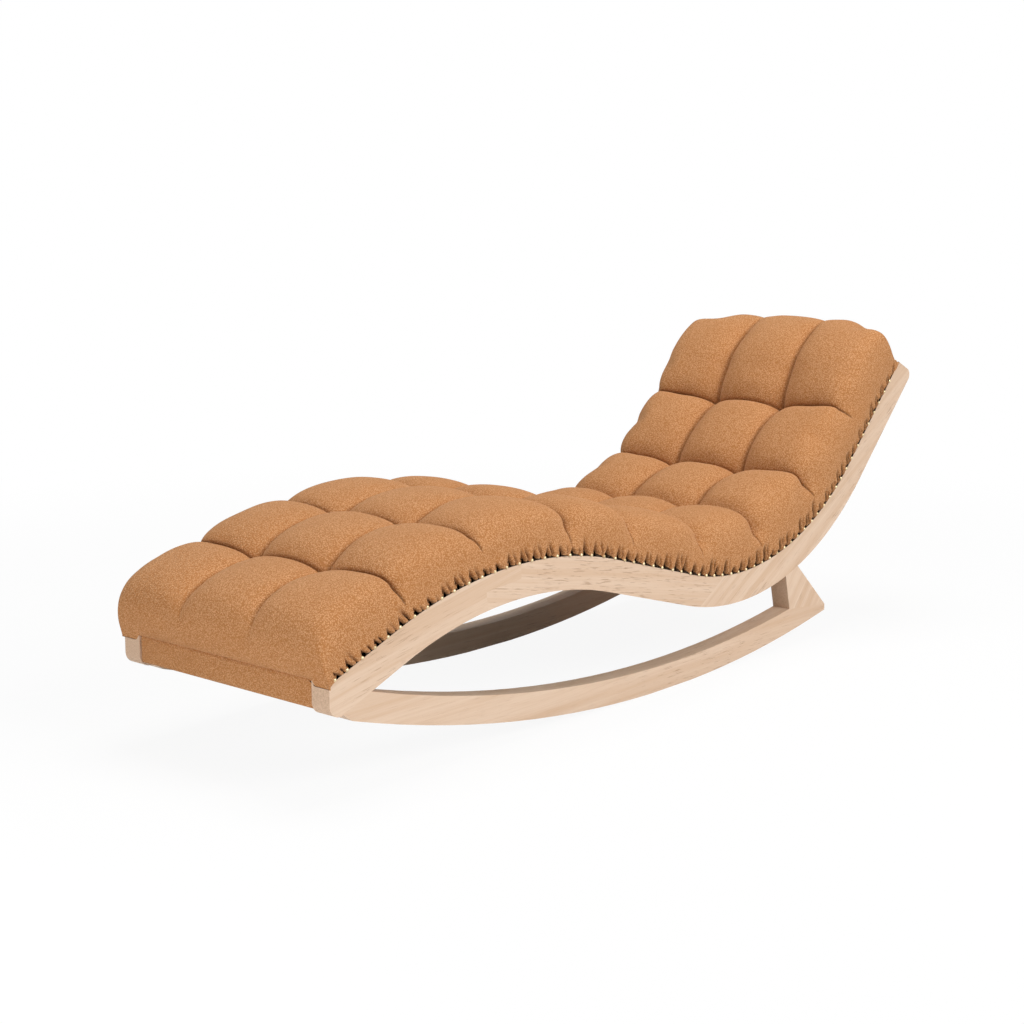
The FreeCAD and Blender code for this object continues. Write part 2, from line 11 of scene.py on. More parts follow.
import bpy
import numpy as np
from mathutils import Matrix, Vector


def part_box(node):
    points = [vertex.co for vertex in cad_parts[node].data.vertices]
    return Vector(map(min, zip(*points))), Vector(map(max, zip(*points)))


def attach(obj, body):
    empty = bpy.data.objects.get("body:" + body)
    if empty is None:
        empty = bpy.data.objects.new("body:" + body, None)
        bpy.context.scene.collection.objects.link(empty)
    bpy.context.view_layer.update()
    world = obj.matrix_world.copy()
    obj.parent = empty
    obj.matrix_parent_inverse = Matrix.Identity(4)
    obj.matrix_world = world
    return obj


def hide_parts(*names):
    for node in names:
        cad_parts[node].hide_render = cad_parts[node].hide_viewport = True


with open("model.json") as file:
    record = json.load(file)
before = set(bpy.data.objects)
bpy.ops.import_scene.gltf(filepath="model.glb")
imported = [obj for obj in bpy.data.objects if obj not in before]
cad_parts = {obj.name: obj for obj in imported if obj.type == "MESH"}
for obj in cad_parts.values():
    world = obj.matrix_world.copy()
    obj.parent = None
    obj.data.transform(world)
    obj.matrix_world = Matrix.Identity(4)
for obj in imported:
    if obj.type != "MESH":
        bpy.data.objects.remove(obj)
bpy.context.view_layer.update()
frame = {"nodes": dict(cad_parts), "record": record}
nodes = frame["nodes"]
scene = bpy.context.scene
scene.view_settings.view_transform = "Standard"

# %% [markdown]
# The camera comes first. Its place and lens were fitted to the photograph, by setting the two rockers, the
# curved rails and the even row of nails against their known shapes. It stands in front of the foot end and
# to the right, slightly above the pad. A camera looks along its own -Z axis, so it is turned up from the
# floor by 90 degrees less its height angle, and then round the vertical.

# %% Camera
camera_place = Vector((2.4432, -2.9868, 1.0418))
camera_round = math.radians(41.0)
camera_above = math.radians(10.26)
camera_lens, camera_sensor = 63.39, 36.0
camera_sees_to = 60.0

camera_data = bpy.data.cameras.new("camera")
camera_data.lens = camera_lens
camera_data.sensor_width = camera_sensor
camera_data.clip_end = camera_sees_to
camera = bpy.data.objects.new("camera", camera_data)
camera.location = camera_place
camera.rotation_euler = (math.pi / 2 - camera_above, 0.0, camera_round)
scene.collection.objects.link(camera)
scene.camera = camera
print("camera stands", round(camera_place.length, 2), "m away")

# %% [markdown]
# Every material and mesh below starts in the same few ways, so these are written once: an empty material, a
# shader node with its settings, links between sockets, and an object made from lists of points and faces.

# %% Helpers for nodes and meshes
def new_material(name):
    material = bpy.data.materials.new(name)
    material.use_nodes = True
    material.node_tree.nodes.clear()
    return material


def add(tree, kind, **settings):
    """Adds a shader node. A setting names a property of the node or, if it has none, an input socket."""
    node = tree.nodes.new(kind)
    for key, value in settings.items():
        if hasattr(node, key):
            setattr(node, key, value)
        else:
            node.inputs[key.replace("_", " ")].default_value = value
    return node


def wire(tree, *pairs):
    """Links pairs of an output and an input."""
    for output, socket in pairs:
        tree.links.new(output, socket)


def mesh_object(name, vertices, faces, smooth=True):
    mesh = bpy.data.meshes.new(name)
    mesh.from_pydata([tuple(v) for v in vertices], [], [tuple(f) for f in faces])
    mesh.validate()
    mesh.update()
    mesh.polygons.foreach_set("use_smooth", [smooth] * len(mesh.polygons))
    thing = bpy.data.objects.new(name, mesh)
    scene.collection.objects.link(thing)
    return thing


print("helpers for nodes and meshes are ready")

# %% [markdown]
# The photograph is a studio shot on seamless white, where the floor has only a faint shadow under the
# rockers. For rays from the camera, and in reflections, the world is white and the floor nearly white, while
# the light on the chaise keeps a plain level, so that a colour renders about as it is written. A Light Path
# node tells these rays apart, and a Mix Shader chooses by it.

# %% Floor and world
backdrop_white = (1.0, 1.0, 1.0, 1.0)
floor_grey = (0.80, 0.80, 0.80, 1.0)
floor_half = 14.0
floor_whiteness = 0.92
shadow_reach = (1.1, 3.2)
world_light = 0.18


def seen_directly(tree):
    """1 for rays from the camera and rays that metal or glass sends on, 0 for the light on the chaise."""
    path = tree.nodes.new("ShaderNodeLightPath")
    seen = path.outputs["Is Camera Ray"]
    for kind in ("Is Glossy Ray", "Is Transmission Ray"):
        either = add(tree, "ShaderNodeMath", operation="MAXIMUM")
        wire(tree, (seen, either.inputs[0]), (path.outputs[kind], either.inputs[1]))
        seen = either.outputs[0]
    return seen


def choose_shader(tree, share, lighting, seen, output_kind):
    """Sends one shader to the light and the other to the eye."""
    mix = tree.nodes.new("ShaderNodeMixShader")
    out = tree.nodes.new(output_kind)
    wire(tree, (share, mix.inputs[0]), (lighting.outputs[0], mix.inputs[1]), (seen.outputs[0], mix.inputs[2]),
         (mix.outputs[0], out.inputs["Surface"]))


def build_floor():
    corners = [(floor_half * x, floor_half * y, 0.0) for x, y in ((-1, -1), (1, -1), (1, 1), (-1, 1))]
    floor = mesh_object("floor", corners, [(0, 1, 2, 3)], smooth=False)
    material = new_material("seamless white floor")
    tree = material.node_tree
    paper = add(tree, "ShaderNodeBsdfDiffuse", Color=floor_grey)
    glow = add(tree, "ShaderNodeEmission", Color=backdrop_white, Strength=1.0)
    place = tree.nodes.new("ShaderNodeTexCoord")
    away = add(tree, "ShaderNodeVectorMath", operation="LENGTH")
    fade = add(tree, "ShaderNodeMapRange", interpolation_type="SMOOTHSTEP", From_Min=shadow_reach[0],
               From_Max=shadow_reach[1], To_Min=floor_whiteness, To_Max=1.0)
    share = add(tree, "ShaderNodeMath", operation="MULTIPLY")
    wire(tree, (place.outputs["Object"], away.inputs[0]), (away.outputs["Value"], fade.inputs["Value"]),
         (seen_directly(tree), share.inputs[0]), (fade.outputs["Result"], share.inputs[1]))
    choose_shader(tree, share.outputs[0], paper, glow, "ShaderNodeOutputMaterial")
    floor.data.materials.append(material)


def build_world():
    world = bpy.data.worlds.new("studio")
    world.use_nodes = True
    tree = world.node_tree
    tree.nodes.clear()
    light = add(tree, "ShaderNodeBackground", Color=backdrop_white, Strength=world_light)
    glow = add(tree, "ShaderNodeBackground", Color=backdrop_white, Strength=1.0)
    choose_shader(tree, seen_directly(tree), light, glow, "ShaderNodeOutputWorld")
    scene.world = world


build_floor()
build_world()
print("floor and world are white to the camera")

# %% [markdown]
# The studio's light is wide and soft. One large lamp hangs overhead, which leaves the lower half of each back
# cushion in shade, one stands high on the side of the near rail and keeps the timber bright, and a weak low
# lamp opens up the shade on the nose of the pad. Area lamps give such light: the larger, the softer.

# %% Lamps
# Each lamp: name, place, aim, watts, width and height
studio_lamps = [("overhead softbox", (-0.3, 0.3, 4.2), (-0.3, 0.2, 0.0), 110.0, 2.2, 2.2),
                ("front fill", (0.3, -2.5, 0.5), (0.0, -0.9, 0.25), 14.0, 1.3, 0.6),
                ("side fill", (4.4, 0.0, 3.1), (0.0, 0.1, 0.3), 194.0, 2.6, 2.0)]
for lamp_name, lamp_place, aim, watts, width, height in studio_lamps:
    lamp = bpy.data.lights.new(lamp_name, "AREA")
    lamp.shape = "RECTANGLE"
    lamp.size, lamp.size_y = width, height
    lamp.energy = watts
    holder = bpy.data.objects.new(lamp_name, lamp)
    holder.location = lamp_place
    holder.rotation_euler = (Vector(aim) - Vector(lamp_place)).to_track_quat("-Z", "Y").to_euler()
    scene.collection.objects.link(holder)
print(len(studio_lamps), "lamps are up")

# %% [markdown]
# Materials come from a few shader groups that are built once. A group works out a colour, a roughness and a
# height that change over the surface; each material feeds them to its own Principled BSDF. All patterns use
# the Object coordinate. Every node of this chaise sits at the origin with its place in its mesh, so that
# coordinate is in metres and a grain or a weave has the same size on every piece.

# %% Helpers for patterns
# A Mix node has sockets for each kind of data, and these are the ones for colours
mix_factor, mix_first, mix_second, mix_result = 0, 6, 7, 2


def colour(red, green, blue):
    """A colour as a screen shows it, 0 to 255, in the linear values that shaders use."""
    linear = [((c / 255 + 0.055) / 1.055) ** 2.4 for c in (red, green, blue)]
    return (*linear, 1.0)


def feed(tree, socket, value):
    """Links a socket to another node's output, or sets it to a plain value."""
    if hasattr(value, "is_linked"):
        tree.links.new(value, socket)
    else:
        socket.default_value = value


def calc(tree, operation, *values, kind="ShaderNodeMath"):
    node = add(tree, kind, operation=operation)
    for socket, value in zip(node.inputs, values):
        feed(tree, socket, value)
    return node.outputs[0]


def stretched(tree, vector, scale):
    return calc(tree, "MULTIPLY", vector, scale, kind="ShaderNodeVectorMath")


def pushed(tree, vector, push, reach):
    """Moves a coordinate by a push, up to a reach on each axis."""
    return calc(tree, "MULTIPLY_ADD", push, reach, vector, kind="ShaderNodeVectorMath")


def blend_colours(tree, share, first, second):
    node = add(tree, "ShaderNodeMix", data_type="RGBA")
    for number, value in ((mix_factor, share), (mix_first, first), (mix_second, second)):
        feed(tree, node.inputs[number], value)
    return node.outputs[mix_result]


def remap(tree, value, low, high, to_low=0.0, to_high=1.0):
    node = add(tree, "ShaderNodeMapRange", interpolation_type="SMOOTHSTEP", From_Min=low, From_Max=high,
               To_Min=to_low, To_Max=to_high)
    wire(tree, (value, node.inputs["Value"]))
    return node.outputs["Result"]


def noise(tree, vector, scale, detail=2.0, roughness=0.5):
    node = add(tree, "ShaderNodeTexNoise", Scale=scale, Detail=detail, Roughness=roughness)
    wire(tree, (vector, node.inputs["Vector"]))
    return node.outputs["Fac"]


print("helpers for patterns are ready")

# %% [markdown]
# A group is a small recipe with named inputs and outputs. Each of the four here is given a coordinate, some
# colours and some numbers, and gives back the same three things, so that one function can finish every
# material.

# %% Helpers for groups and materials
def new_group(name, **given):
    """Starts a group that is given a coordinate and the named colours and numbers."""
    group = bpy.data.node_groups.new(name, "ShaderNodeTree")
    group.interface.new_socket("Vector", in_out="INPUT", socket_type="NodeSocketVector")
    for socket_name, value in given.items():
        kind = "NodeSocketColor" if isinstance(value, tuple) else "NodeSocketFloat"
        socket = group.interface.new_socket(socket_name.replace("_", " "), in_out="INPUT", socket_type=kind)
        socket.default_value = value
    for socket_name, kind in (("Color", "NodeSocketColor"), ("Roughness", "NodeSocketFloat"),
                              ("Height", "NodeSocketFloat")):
        group.interface.new_socket(socket_name, in_out="OUTPUT", socket_type=kind)
    return group, group.nodes.new("NodeGroupInput").outputs


def end_group(group, colour_out, roughness_out, height_out):
    given_back = group.nodes.new("NodeGroupOutput").inputs
    wire(group, (colour_out, given_back["Color"]), (roughness_out, given_back["Roughness"]),
         (height_out, given_back["Height"]))
    return group


def use_group(material, group, vector_out, **values):
    """Places a group in a material with its own values."""
    node = add(material.node_tree, "ShaderNodeGroup", node_tree=group)
    for name, value in values.items():
        node.inputs[name.replace("_", " ")].default_value = value
    wire(material.node_tree, (vector_out, node.inputs["Vector"]))
    return node


def finish_surface(material, pattern, colour_out, bump_depth, **shader_values):
    """Feeds a colour, and a group's roughness and height, to the material's own shader."""
    tree = material.node_tree
    out = tree.nodes.new("ShaderNodeOutputMaterial")
    shader = add(tree, "ShaderNodeBsdfPrincipled", **shader_values)
    bump = add(tree, "ShaderNodeBump", Strength=1.0, Distance=bump_depth)
    wire(tree, (colour_out, shader.inputs["Base Color"]),
         (pattern.outputs["Roughness"], shader.inputs["Roughness"]),
         (pattern.outputs["Height"], bump.inputs["Height"]), (bump.outputs[0], shader.inputs["Normal"]),
         (shader.outputs[0], out.inputs["Surface"]))


print("helpers for groups and materials are ready")

# %% [markdown]
# The timber is pale oak with a matt finish. Along the grain everything is drawn out, twenty times or more:
# broad soft bands from the growth rings, fine lines, and the short dark pores that mark oak. Noise gives all
# three, with its coordinate multiplied by another number on each axis. Where the surface faces along the
# grain it is end grain, which is darker and shows rings instead of lines.

# %% Oak group
oak_pale = colour(216, 190, 166)
oak_deep = colour(197, 162, 130)
oak_pore = colour(150, 110, 78)
# How tightly each pattern is packed: across the chaise, along the grain and square to both
wander_packing, wander_reach = (5.0, 0.9, 5.0), (0.05, 0.0, 0.05)
patch_packing, patch_edges = (6.0, 1.6, 6.0), (0.42, 0.62)
band_packing, band_edges, band_weight = (38.0, 0.9, 55.0), (0.34, 0.68), 0.55
line_packing, line_edges, line_weight = (260.0, 5.0, 320.0), (0.38, 0.70), 0.24
pore_packing, pore_edges, pore_weight = (520.0, 22.0, 600.0), (0.60, 0.72), 0.50
ring_packing, ring_edges, ring_weight = (420.0, 1.0, 420.0), (0.35, 0.70), 0.45
fewest_pores = 0.25
line_rise, pore_fall = 0.5, 0.8


def build_oak_group():
    group, given = new_group("oak grain", Pale=oak_pale, Deep=oak_deep, Pore=oak_pore, End_Grain=0.0)
    wander = noise(group, stretched(group, given["Vector"], wander_packing), 1.0)
    sideways = group.nodes.new("ShaderNodeCombineXYZ")
    for axis in ("X", "Z"):
        wire(group, (calc(group, "SUBTRACT", wander, 0.5), sideways.inputs[axis]))
    wood = pushed(group, given["Vector"], sideways.outputs[0], wander_reach)
    bands = noise(group, stretched(group, wood, band_packing), 1.0, 3.0, 0.55)
    lines = noise(group, stretched(group, wood, line_packing), 1.0, 3.0, 0.6)
    pores = noise(group, stretched(group, wood, pore_packing), 1.0)
    patch = noise(group, stretched(group, wood, patch_packing), 1.0)
    in_patch = calc(group, "ADD", remap(group, patch, *patch_edges), fewest_pores)
    band_share = calc(group, "MULTIPLY", remap(group, bands, *band_edges), band_weight)
    line_share = calc(group, "MULTIPLY", remap(group, lines, *line_edges), line_weight)
    pored = calc(group, "MULTIPLY", remap(group, pores, *pore_edges), in_patch)
    side = blend_colours(group, band_share, given["Pale"], given["Deep"])
    side = blend_colours(group, line_share, side, given["Deep"])
    side = blend_colours(group, calc(group, "MULTIPLY", pored, pore_weight), side, given["Pore"])
    rings = noise(group, stretched(group, given["Vector"], ring_packing), 1.0, 3.0, 0.6)
    end = blend_colours(group, remap(group, rings, *ring_edges), given["Deep"], given["Pore"])
    end = blend_colours(group, ring_weight, end, given["Pale"])
    height_out = calc(group, "SUBTRACT", calc(group, "MULTIPLY", lines, line_rise),
                      calc(group, "MULTIPLY", pored, pore_fall))
    return end_group(group, blend_colours(group, given["End Grain"], side, end),
                     remap(group, lines, 0.3, 0.7, 0.50, 0.66), height_out)


oak_group = build_oak_group()
print("oak group made")

# %% [markdown]
# The grain runs straight along each length of timber that was cut, so the curved rail shows three lengths
# that each have their own direction. A Mapping node turns the coordinate to that direction before the group
# reads it, and a shift gives each piece another part of the pattern, as from another board. End grain is
# found from how much the surface's normal points along the grain.

# %% Oak on the rails, rockers, posts and plugs
oak_bump = 0.0004
end_grain_facing = (0.70, 0.86)
shift_upward, shift_along = 0.6, 1.7
rail_grain = {"foot": 12.0, "seat": -11.0, "back": 30.0}
post_grain, plug_grain = 50.0, -11.0
length_shift, side_shift = 0.31, 0.9
rocker_shift, post_shift, plug_shift = 2.3, 3.1, 4.7


def oak_material(name, grain_slope, shift, pale=oak_pale, deep=oak_deep):
    """Oak with its grain in the plane of the side rails, at a slope from the horizontal."""
    material = new_material(name)
    tree = material.node_tree
    place = tree.nodes.new("ShaderNodeTexCoord")
    turn = add(tree, "ShaderNodeMapping", vector_type="POINT", Rotation=(-grain_slope, 0.0, 0.0),
               Location=(shift, shift * shift_along, shift * shift_upward))
    wire(tree, (place.outputs["Object"], turn.inputs["Vector"]))
    facing = add(tree, "ShaderNodeVectorMath", operation="DOT_PRODUCT")
    facing.inputs[1].default_value = (0.0, math.cos(grain_slope), math.sin(grain_slope))
    oak = use_group(material, oak_group, turn.outputs[0], Pale=pale, Deep=deep)
    end = remap(tree, calc(tree, "ABSOLUTE", facing.outputs["Value"]), *end_grain_facing)
    wire(tree, (place.outputs["Normal"], facing.inputs[0]), (end, oak.inputs["End Grain"]))
    finish_surface(material, oak, oak.outputs["Color"], oak_bump, Specular_IOR_Level=0.35)
    return material


def dress(node_name, material):
    thing = nodes[node_name]
    thing.data.materials.clear()
    thing.data.materials.append(material)
    thing.data.polygons.foreach_set("material_index", [0] * len(thing.data.polygons))


for side_number, side in enumerate(("left", "right")):
    for number, (length, slope) in enumerate(rail_grain.items()):
        shift = length_shift * number + side_shift * side_number
        oak = oak_material("oak_rail_%s_%s" % (length, side), math.radians(slope), shift)
        dress("side_rail_%s_%s" % (length, side), oak)
    dress("rocker_" + side, oak_material("oak_rocker_" + side, 0.0, rocker_shift + side_number))
    post_oak = oak_material("oak_post_" + side, math.radians(post_grain), post_shift + side_number)
    dress("rear_post_" + side, post_oak)
dress("screw_plugs", oak_material("oak_plugs", math.radians(plug_grain), plug_shift))
print("oak on the rails, rockers, posts and plugs")

# %% [markdown]
# The cover is a looped wool cloth: small round curls a few millimetres across, tightly packed, with darker
# gaps between them. A Voronoi texture gives the curls their places, noise bends them so that no row shows,
# and the same pattern drives colour and height so that light and colour agree. Slow noise over a hand's
# width keeps a large cushion from looking printed.

# %% Looped cloth group
cloth_light = colour(209, 158, 113)
cloth_dark = colour(166, 110, 63)
curl_size = 0.0026
curl_edges = (0.05, 0.72)
bend_packing, bend_reach = 190.0, (0.004, 0.004, 0.004)
fuzz_packing, fuzz_weight = 900.0, 0.9
worn_packing, worn_edges, worn_weight = 9.0, (0.40, 0.70), 0.16


def build_cloth_group():
    group, given = new_group("looped cloth", Curl_Size=curl_size, Light=cloth_light, Dark=cloth_dark)
    bend = add(group, "ShaderNodeTexNoise", Scale=bend_packing, Detail=1.0)
    curls = add(group, "ShaderNodeTexVoronoi", feature="F1", Randomness=1.0)
    bent = pushed(group, given["Vector"], bend.outputs["Color"], bend_reach)
    wire(group, (given["Vector"], bend.inputs["Vector"]), (bent, curls.inputs["Vector"]),
         (calc(group, "DIVIDE", 1.0, given["Curl Size"]), curls.inputs["Scale"]))
    fuzz = noise(group, given["Vector"], fuzz_packing, 2.0, 0.6)
    slow = noise(group, given["Vector"], worn_packing, 3.0)
    round_top = remap(group, curls.outputs["Distance"], *curl_edges, 1.0, 0.0)
    body = calc(group, "MULTIPLY_ADD", calc(group, "SUBTRACT", fuzz, 0.5), fuzz_weight, round_top)
    shade = blend_colours(group, remap(group, body, -0.10, 1.05), given["Dark"], given["Light"])
    worn = blend_colours(group, remap(group, slow, *worn_edges, 0.0, worn_weight), shade, given["Dark"])
    return end_group(group, worn, remap(group, body, 0.0, 1.0, 0.95, 0.85), body)


cloth_group = build_cloth_group()
print("cloth group made")

# %% [markdown]
# Where the pad's cloth is pinched into a crease, and along its nailed edge, its mesh carries an attribute
# that holds
# painted shade: the colour there is darkened as the shade of those narrow places would fall. An Attribute
# node reads it. Sheen gives the soft light rim of wool.

# %% Caramel cloth
# Painted shade: the deep brown that creases are darkened towards, and how far
crease_shade_colour, crease_shade_weight = colour(62, 36, 16), 0.85
cloth_bump = 0.0005
cloth_shader = {"Specular_IOR_Level": 0.15, "Sheen_Weight": 0.22, "Sheen_Roughness": 0.5,
                "Sheen_Tint": colour(240, 205, 168)}


def cloth_material(name, light=cloth_light, dark=cloth_dark, curl=curl_size):
    material = new_material(name)
    tree = material.node_tree
    place = tree.nodes.new("ShaderNodeTexCoord")
    cloth = use_group(material, cloth_group, place.outputs["Object"], Light=light, Dark=dark, Curl_Size=curl)
    # Painted shade: an attribute darkens the colour in creases and along the nailed edge
    painted_shade = add(tree, "ShaderNodeAttribute", attribute_name="painted_shade")
    crease_shade_amount = calc(tree, "MULTIPLY", painted_shade.outputs["Fac"], crease_shade_weight)
    shaded = blend_colours(tree, crease_shade_amount, cloth.outputs["Color"], crease_shade_colour)
    finish_surface(material, cloth, shaded, cloth_bump, **cloth_shader)
    return material


caramel_cloth = cloth_material("caramel_looped_cloth")
print("cloth material made")

# %% [markdown]
# The upholstery nails have polished domed heads of pale, champagne-toned brass, a little cloudy where they
# have been handled. One more group gives metal that is bright in places and dull in others.

# %% Metal group
champagne_bright, champagne_dull = colour(224, 204, 164), colour(172, 146, 104)
metal_smooth = 0.32
cloud_packing, cloud_edges, cloud_weight = 140.0, (0.40, 0.72), 0.8
mark_packing, mark_roughness, dull_roughness = 1400.0, 0.14, 0.12


def build_metal_group():
    group, given = new_group("rubbed metal", Bright=champagne_bright, Dull=champagne_dull,
                             Smooth=metal_smooth)
    cloud = noise(group, given["Vector"], cloud_packing)
    marks = noise(group, given["Vector"], mark_packing, 3.0, 0.6)
    dull_share = remap(group, cloud, *cloud_edges, 0.0, cloud_weight)
    rough = calc(group, "MULTIPLY_ADD", marks, mark_roughness, given["Smooth"])
    return end_group(group, blend_colours(group, dull_share, given["Bright"], given["Dull"]),
                     calc(group, "MULTIPLY_ADD", dull_share, dull_roughness, rough), marks)


metal_group = build_metal_group()
print("metal group made")

# %% [markdown]
# Webbing, hessian and twine are made of threads that cross over and under each other. The product of two sine
# waves, one across and one along, makes such a chequer, and noise loosens it.

# %% Weave group
thread_light, thread_dark = colour(190, 160, 115), colour(120, 95, 62)
thread_pitch = 0.002
loose_packing, loose_weight = 320.0, 0.5
upward_share = 0.4


def build_weave_group():
    group, given = new_group("crossed threads", Pitch=thread_pitch, Light=thread_light, Dark=thread_dark)
    loose = noise(group, given["Vector"], loose_packing)
    parts = group.nodes.new("ShaderNodeSeparateXYZ")
    wire(group, (given["Vector"], parts.inputs[0]))
    turns = calc(group, "DIVIDE", math.pi, given["Pitch"])
    upward = calc(group, "MULTIPLY", parts.outputs["Z"], upward_share)
    lengthwise = calc(group, "ADD", parts.outputs["Y"], upward)
    weft = calc(group, "SINE", calc(group, "MULTIPLY_ADD", parts.outputs["X"], turns, loose))
    warp = calc(group, "SINE", calc(group, "MULTIPLY_ADD", lengthwise, turns, loose))
    crossing = calc(group, "MULTIPLY_ADD", calc(group, "MULTIPLY", weft, warp), 0.5, 0.5)
    body = calc(group, "MULTIPLY_ADD", calc(group, "SUBTRACT", loose, 0.5), loose_weight, crossing)
    return end_group(group, blend_colours(group, remap(group, body, 0.1, 0.9), given["Dark"], given["Light"]),
                     remap(group, body, 0.0, 1.0, 0.95, 0.82), body)


weave_group = build_weave_group()
print("weave group made")

# %% [markdown]
# Under the cover, where only a repairer would look, lie planed softwood cross members with zinc-plated
# screws, hardwood dowels, jute webbing under hessian, waxed ties and a foam core. They all take one of the
# four groups with their own values, and each solid's slot in the CAD record says which finish it gets.

# %% Nails and hidden finishes
metal_bump, matt = 0.00004, {"Specular_IOR_Level": 0.2}


def grouped_material(name, group, bump_depth, shader_values, **group_values):
    material = new_material(name)
    place = material.node_tree.nodes.new("ShaderNodeTexCoord")
    made = use_group(material, group, place.outputs["Object"], **group_values)
    finish_surface(material, made, made.outputs["Color"], bump_depth, **shader_values)
    return material


champagne = grouped_material("champagne_nails", metal_group, metal_bump, {"Metallic": 0.85})
zinc = grouped_material("zinc_steel", metal_group, metal_bump, {"Metallic": 1.0},
                        Bright=colour(206, 208, 210), Dull=colour(150, 152, 156))
jute = grouped_material("jute_webbing", weave_group, 0.0005, matt, Pitch=0.0024,
                        Light=colour(186, 154, 106), Dark=colour(112, 86, 52))
hessian = grouped_material("hessian_weave", weave_group, 0.0004, matt, Pitch=0.0032,
                           Light=colour(204, 176, 128), Dark=colour(120, 94, 60))
twine = grouped_material("waxed_twine", weave_group, 0.0003, {"Specular_IOR_Level": 0.35}, Pitch=0.0011,
                         Light=colour(218, 202, 166), Dark=colour(150, 128, 92))
foam = grouped_material("foam_pores", cloth_group, 0.0004, matt, Curl_Size=0.0014,
                        Light=colour(240, 230, 200), Dark=colour(196, 180, 140))
softwood = oak_material("planed_softwood", 0.0, 5.2, colour(222, 190, 146), colour(188, 148, 104))
hardwood = oak_material("dowel_hardwood", 0.3, 6.1, colour(226, 196, 154), colour(192, 156, 112))
slot_finishes = {"inner_wood": softwood, "dowel_wood": hardwood, "webbing": jute, "hessian_cloth": hessian,
                 "twine": twine, "foam": foam, "nail_metal": champagne, "steel": zinc}
dressed = 0
for subpart in frame["record"]["subparts"]:
    if subpart["material_slot"] in slot_finishes:
        dress(subpart["node"], slot_finishes[subpart["material_slot"]])
        dressed += 1
print(dressed, "more nodes have their own finish")

# %% [markdown]
# Everything soft follows the curve of the side rails, so the script needs that curve. It is the same chain
# of straights and arcs as in the CAD model: a table of the rail's slope at a few places along it, added up
# in small steps, gives the underside of the rail, and a height above it is measured square to it.

# %% The rail line
rail_foot_height = 0.14012
rail_depth = 0.072
foot_straight, thigh_straight, back_straight = 0.196, 0.277, 0.335
knee_radius, seat_radius = 0.918, 0.714
foot_slope, thigh_slope, back_slope = np.radians((21.5, -15.7, 45.3))
rail_start = np.array([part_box("side_rail_foot_left")[0][1], rail_foot_height])
stretch_lengths = (foot_straight, (foot_slope - thigh_slope) * knee_radius, thigh_straight,
                   (back_slope - thigh_slope) * seat_radius, back_straight)
rail_stops = np.concatenate([[0.0], np.cumsum(stretch_lengths)])
rail_slopes = (foot_slope, foot_slope, thigh_slope, thigh_slope, back_slope, back_slope)
rail_length = rail_stops[-1]

rail_steps = np.linspace(0.0, rail_length, 4001)
step_slopes = np.interp((rail_steps[1:] + rail_steps[:-1]) / 2, rail_stops, rail_slopes)
step_sizes = np.diff(rail_steps)
rail_y = rail_start[0] + np.concatenate([[0.0], np.cumsum(step_sizes * np.cos(step_slopes))])
rail_z = rail_start[1] + np.concatenate([[0.0], np.cumsum(step_sizes * np.sin(step_slopes))])


def rail_at(along, height):
    """Y and Z of points at a distance along the rail and a height above its underside."""
    on_rail = np.clip(along, 0.0, rail_length)
    slope = np.interp(on_rail, rail_stops, rail_slopes)
    beyond = along - on_rail
    y = np.interp(on_rail, rail_steps, rail_y) + beyond * np.cos(slope) - height * np.sin(slope)
    z = np.interp(on_rail, rail_steps, rail_z) + beyond * np.sin(slope) + height * np.cos(slope)
    return y, z


print("rail line is", round(rail_length, 4), "m long")

# %% [markdown]
# The pad is one sheet of cloth over soft filling. Its shape is worked out on a grid, with one direction
# along the chaise and the other across it. First comes the full, untufted form: a line over the middle
# that rolls round the foot and the head, a line where the cloth is nailed to the rails, and a profile that
# says how the cloth rises from the nails to the top.

# %% The lines that shape the pad
column_seam = 0.0933
row_seams = np.array([0.231, 0.421, 0.652, 0.839, 1.095, 1.363, 1.638, 1.902])
run_from, run_to, run_step = 0.145, 2.0, 0.03


def smooth_line(places, points, at):
    """A smooth line through a few points, read at the wanted places."""
    places, points = np.asarray(places, float), np.asarray(points, float)
    slopes = np.gradient(points, places, axis=0)
    n = np.clip(np.searchsorted(places, at, side="right") - 1, 0, len(places) - 2)
    gap = places[n + 1] - places[n]
    u = np.clip((at - places[n]) / gap, 0.0, 1.0)
    if points.ndim > 1:
        gap, u = gap[:, None], u[:, None]
    start = points[n] * (2 * u ** 3 - 3 * u ** 2 + 1) + slopes[n] * gap * (u ** 3 - 2 * u ** 2 + u)
    return start + points[n + 1] * (3 * u ** 2 - 2 * u ** 3) + slopes[n + 1] * gap * (u ** 3 - u ** 2)


def ease(value, low, high):
    """0 below low, 1 above high and a soft S between them."""
    u = np.clip((value - low) / (high - low), 0.0, 1.0)
    return u * u * (3 - 2 * u)


def crown(along):
    """Height of the full pad above the rails."""
    return np.interp(along, (0.15, 0.42, 0.90, 1.40, 2.20), (0.106, 0.100, 0.106, 0.138, 0.138))


def lap(along):
    """How far the cloth comes down over the rail's outer face."""
    stations = (0.0, 1.05, 1.30, 1.60, 1.95, 2.13)
    return np.interp(along, stations, (0.0055, 0.0055, 0.0062, 0.0062, 0.0055, 0.004))


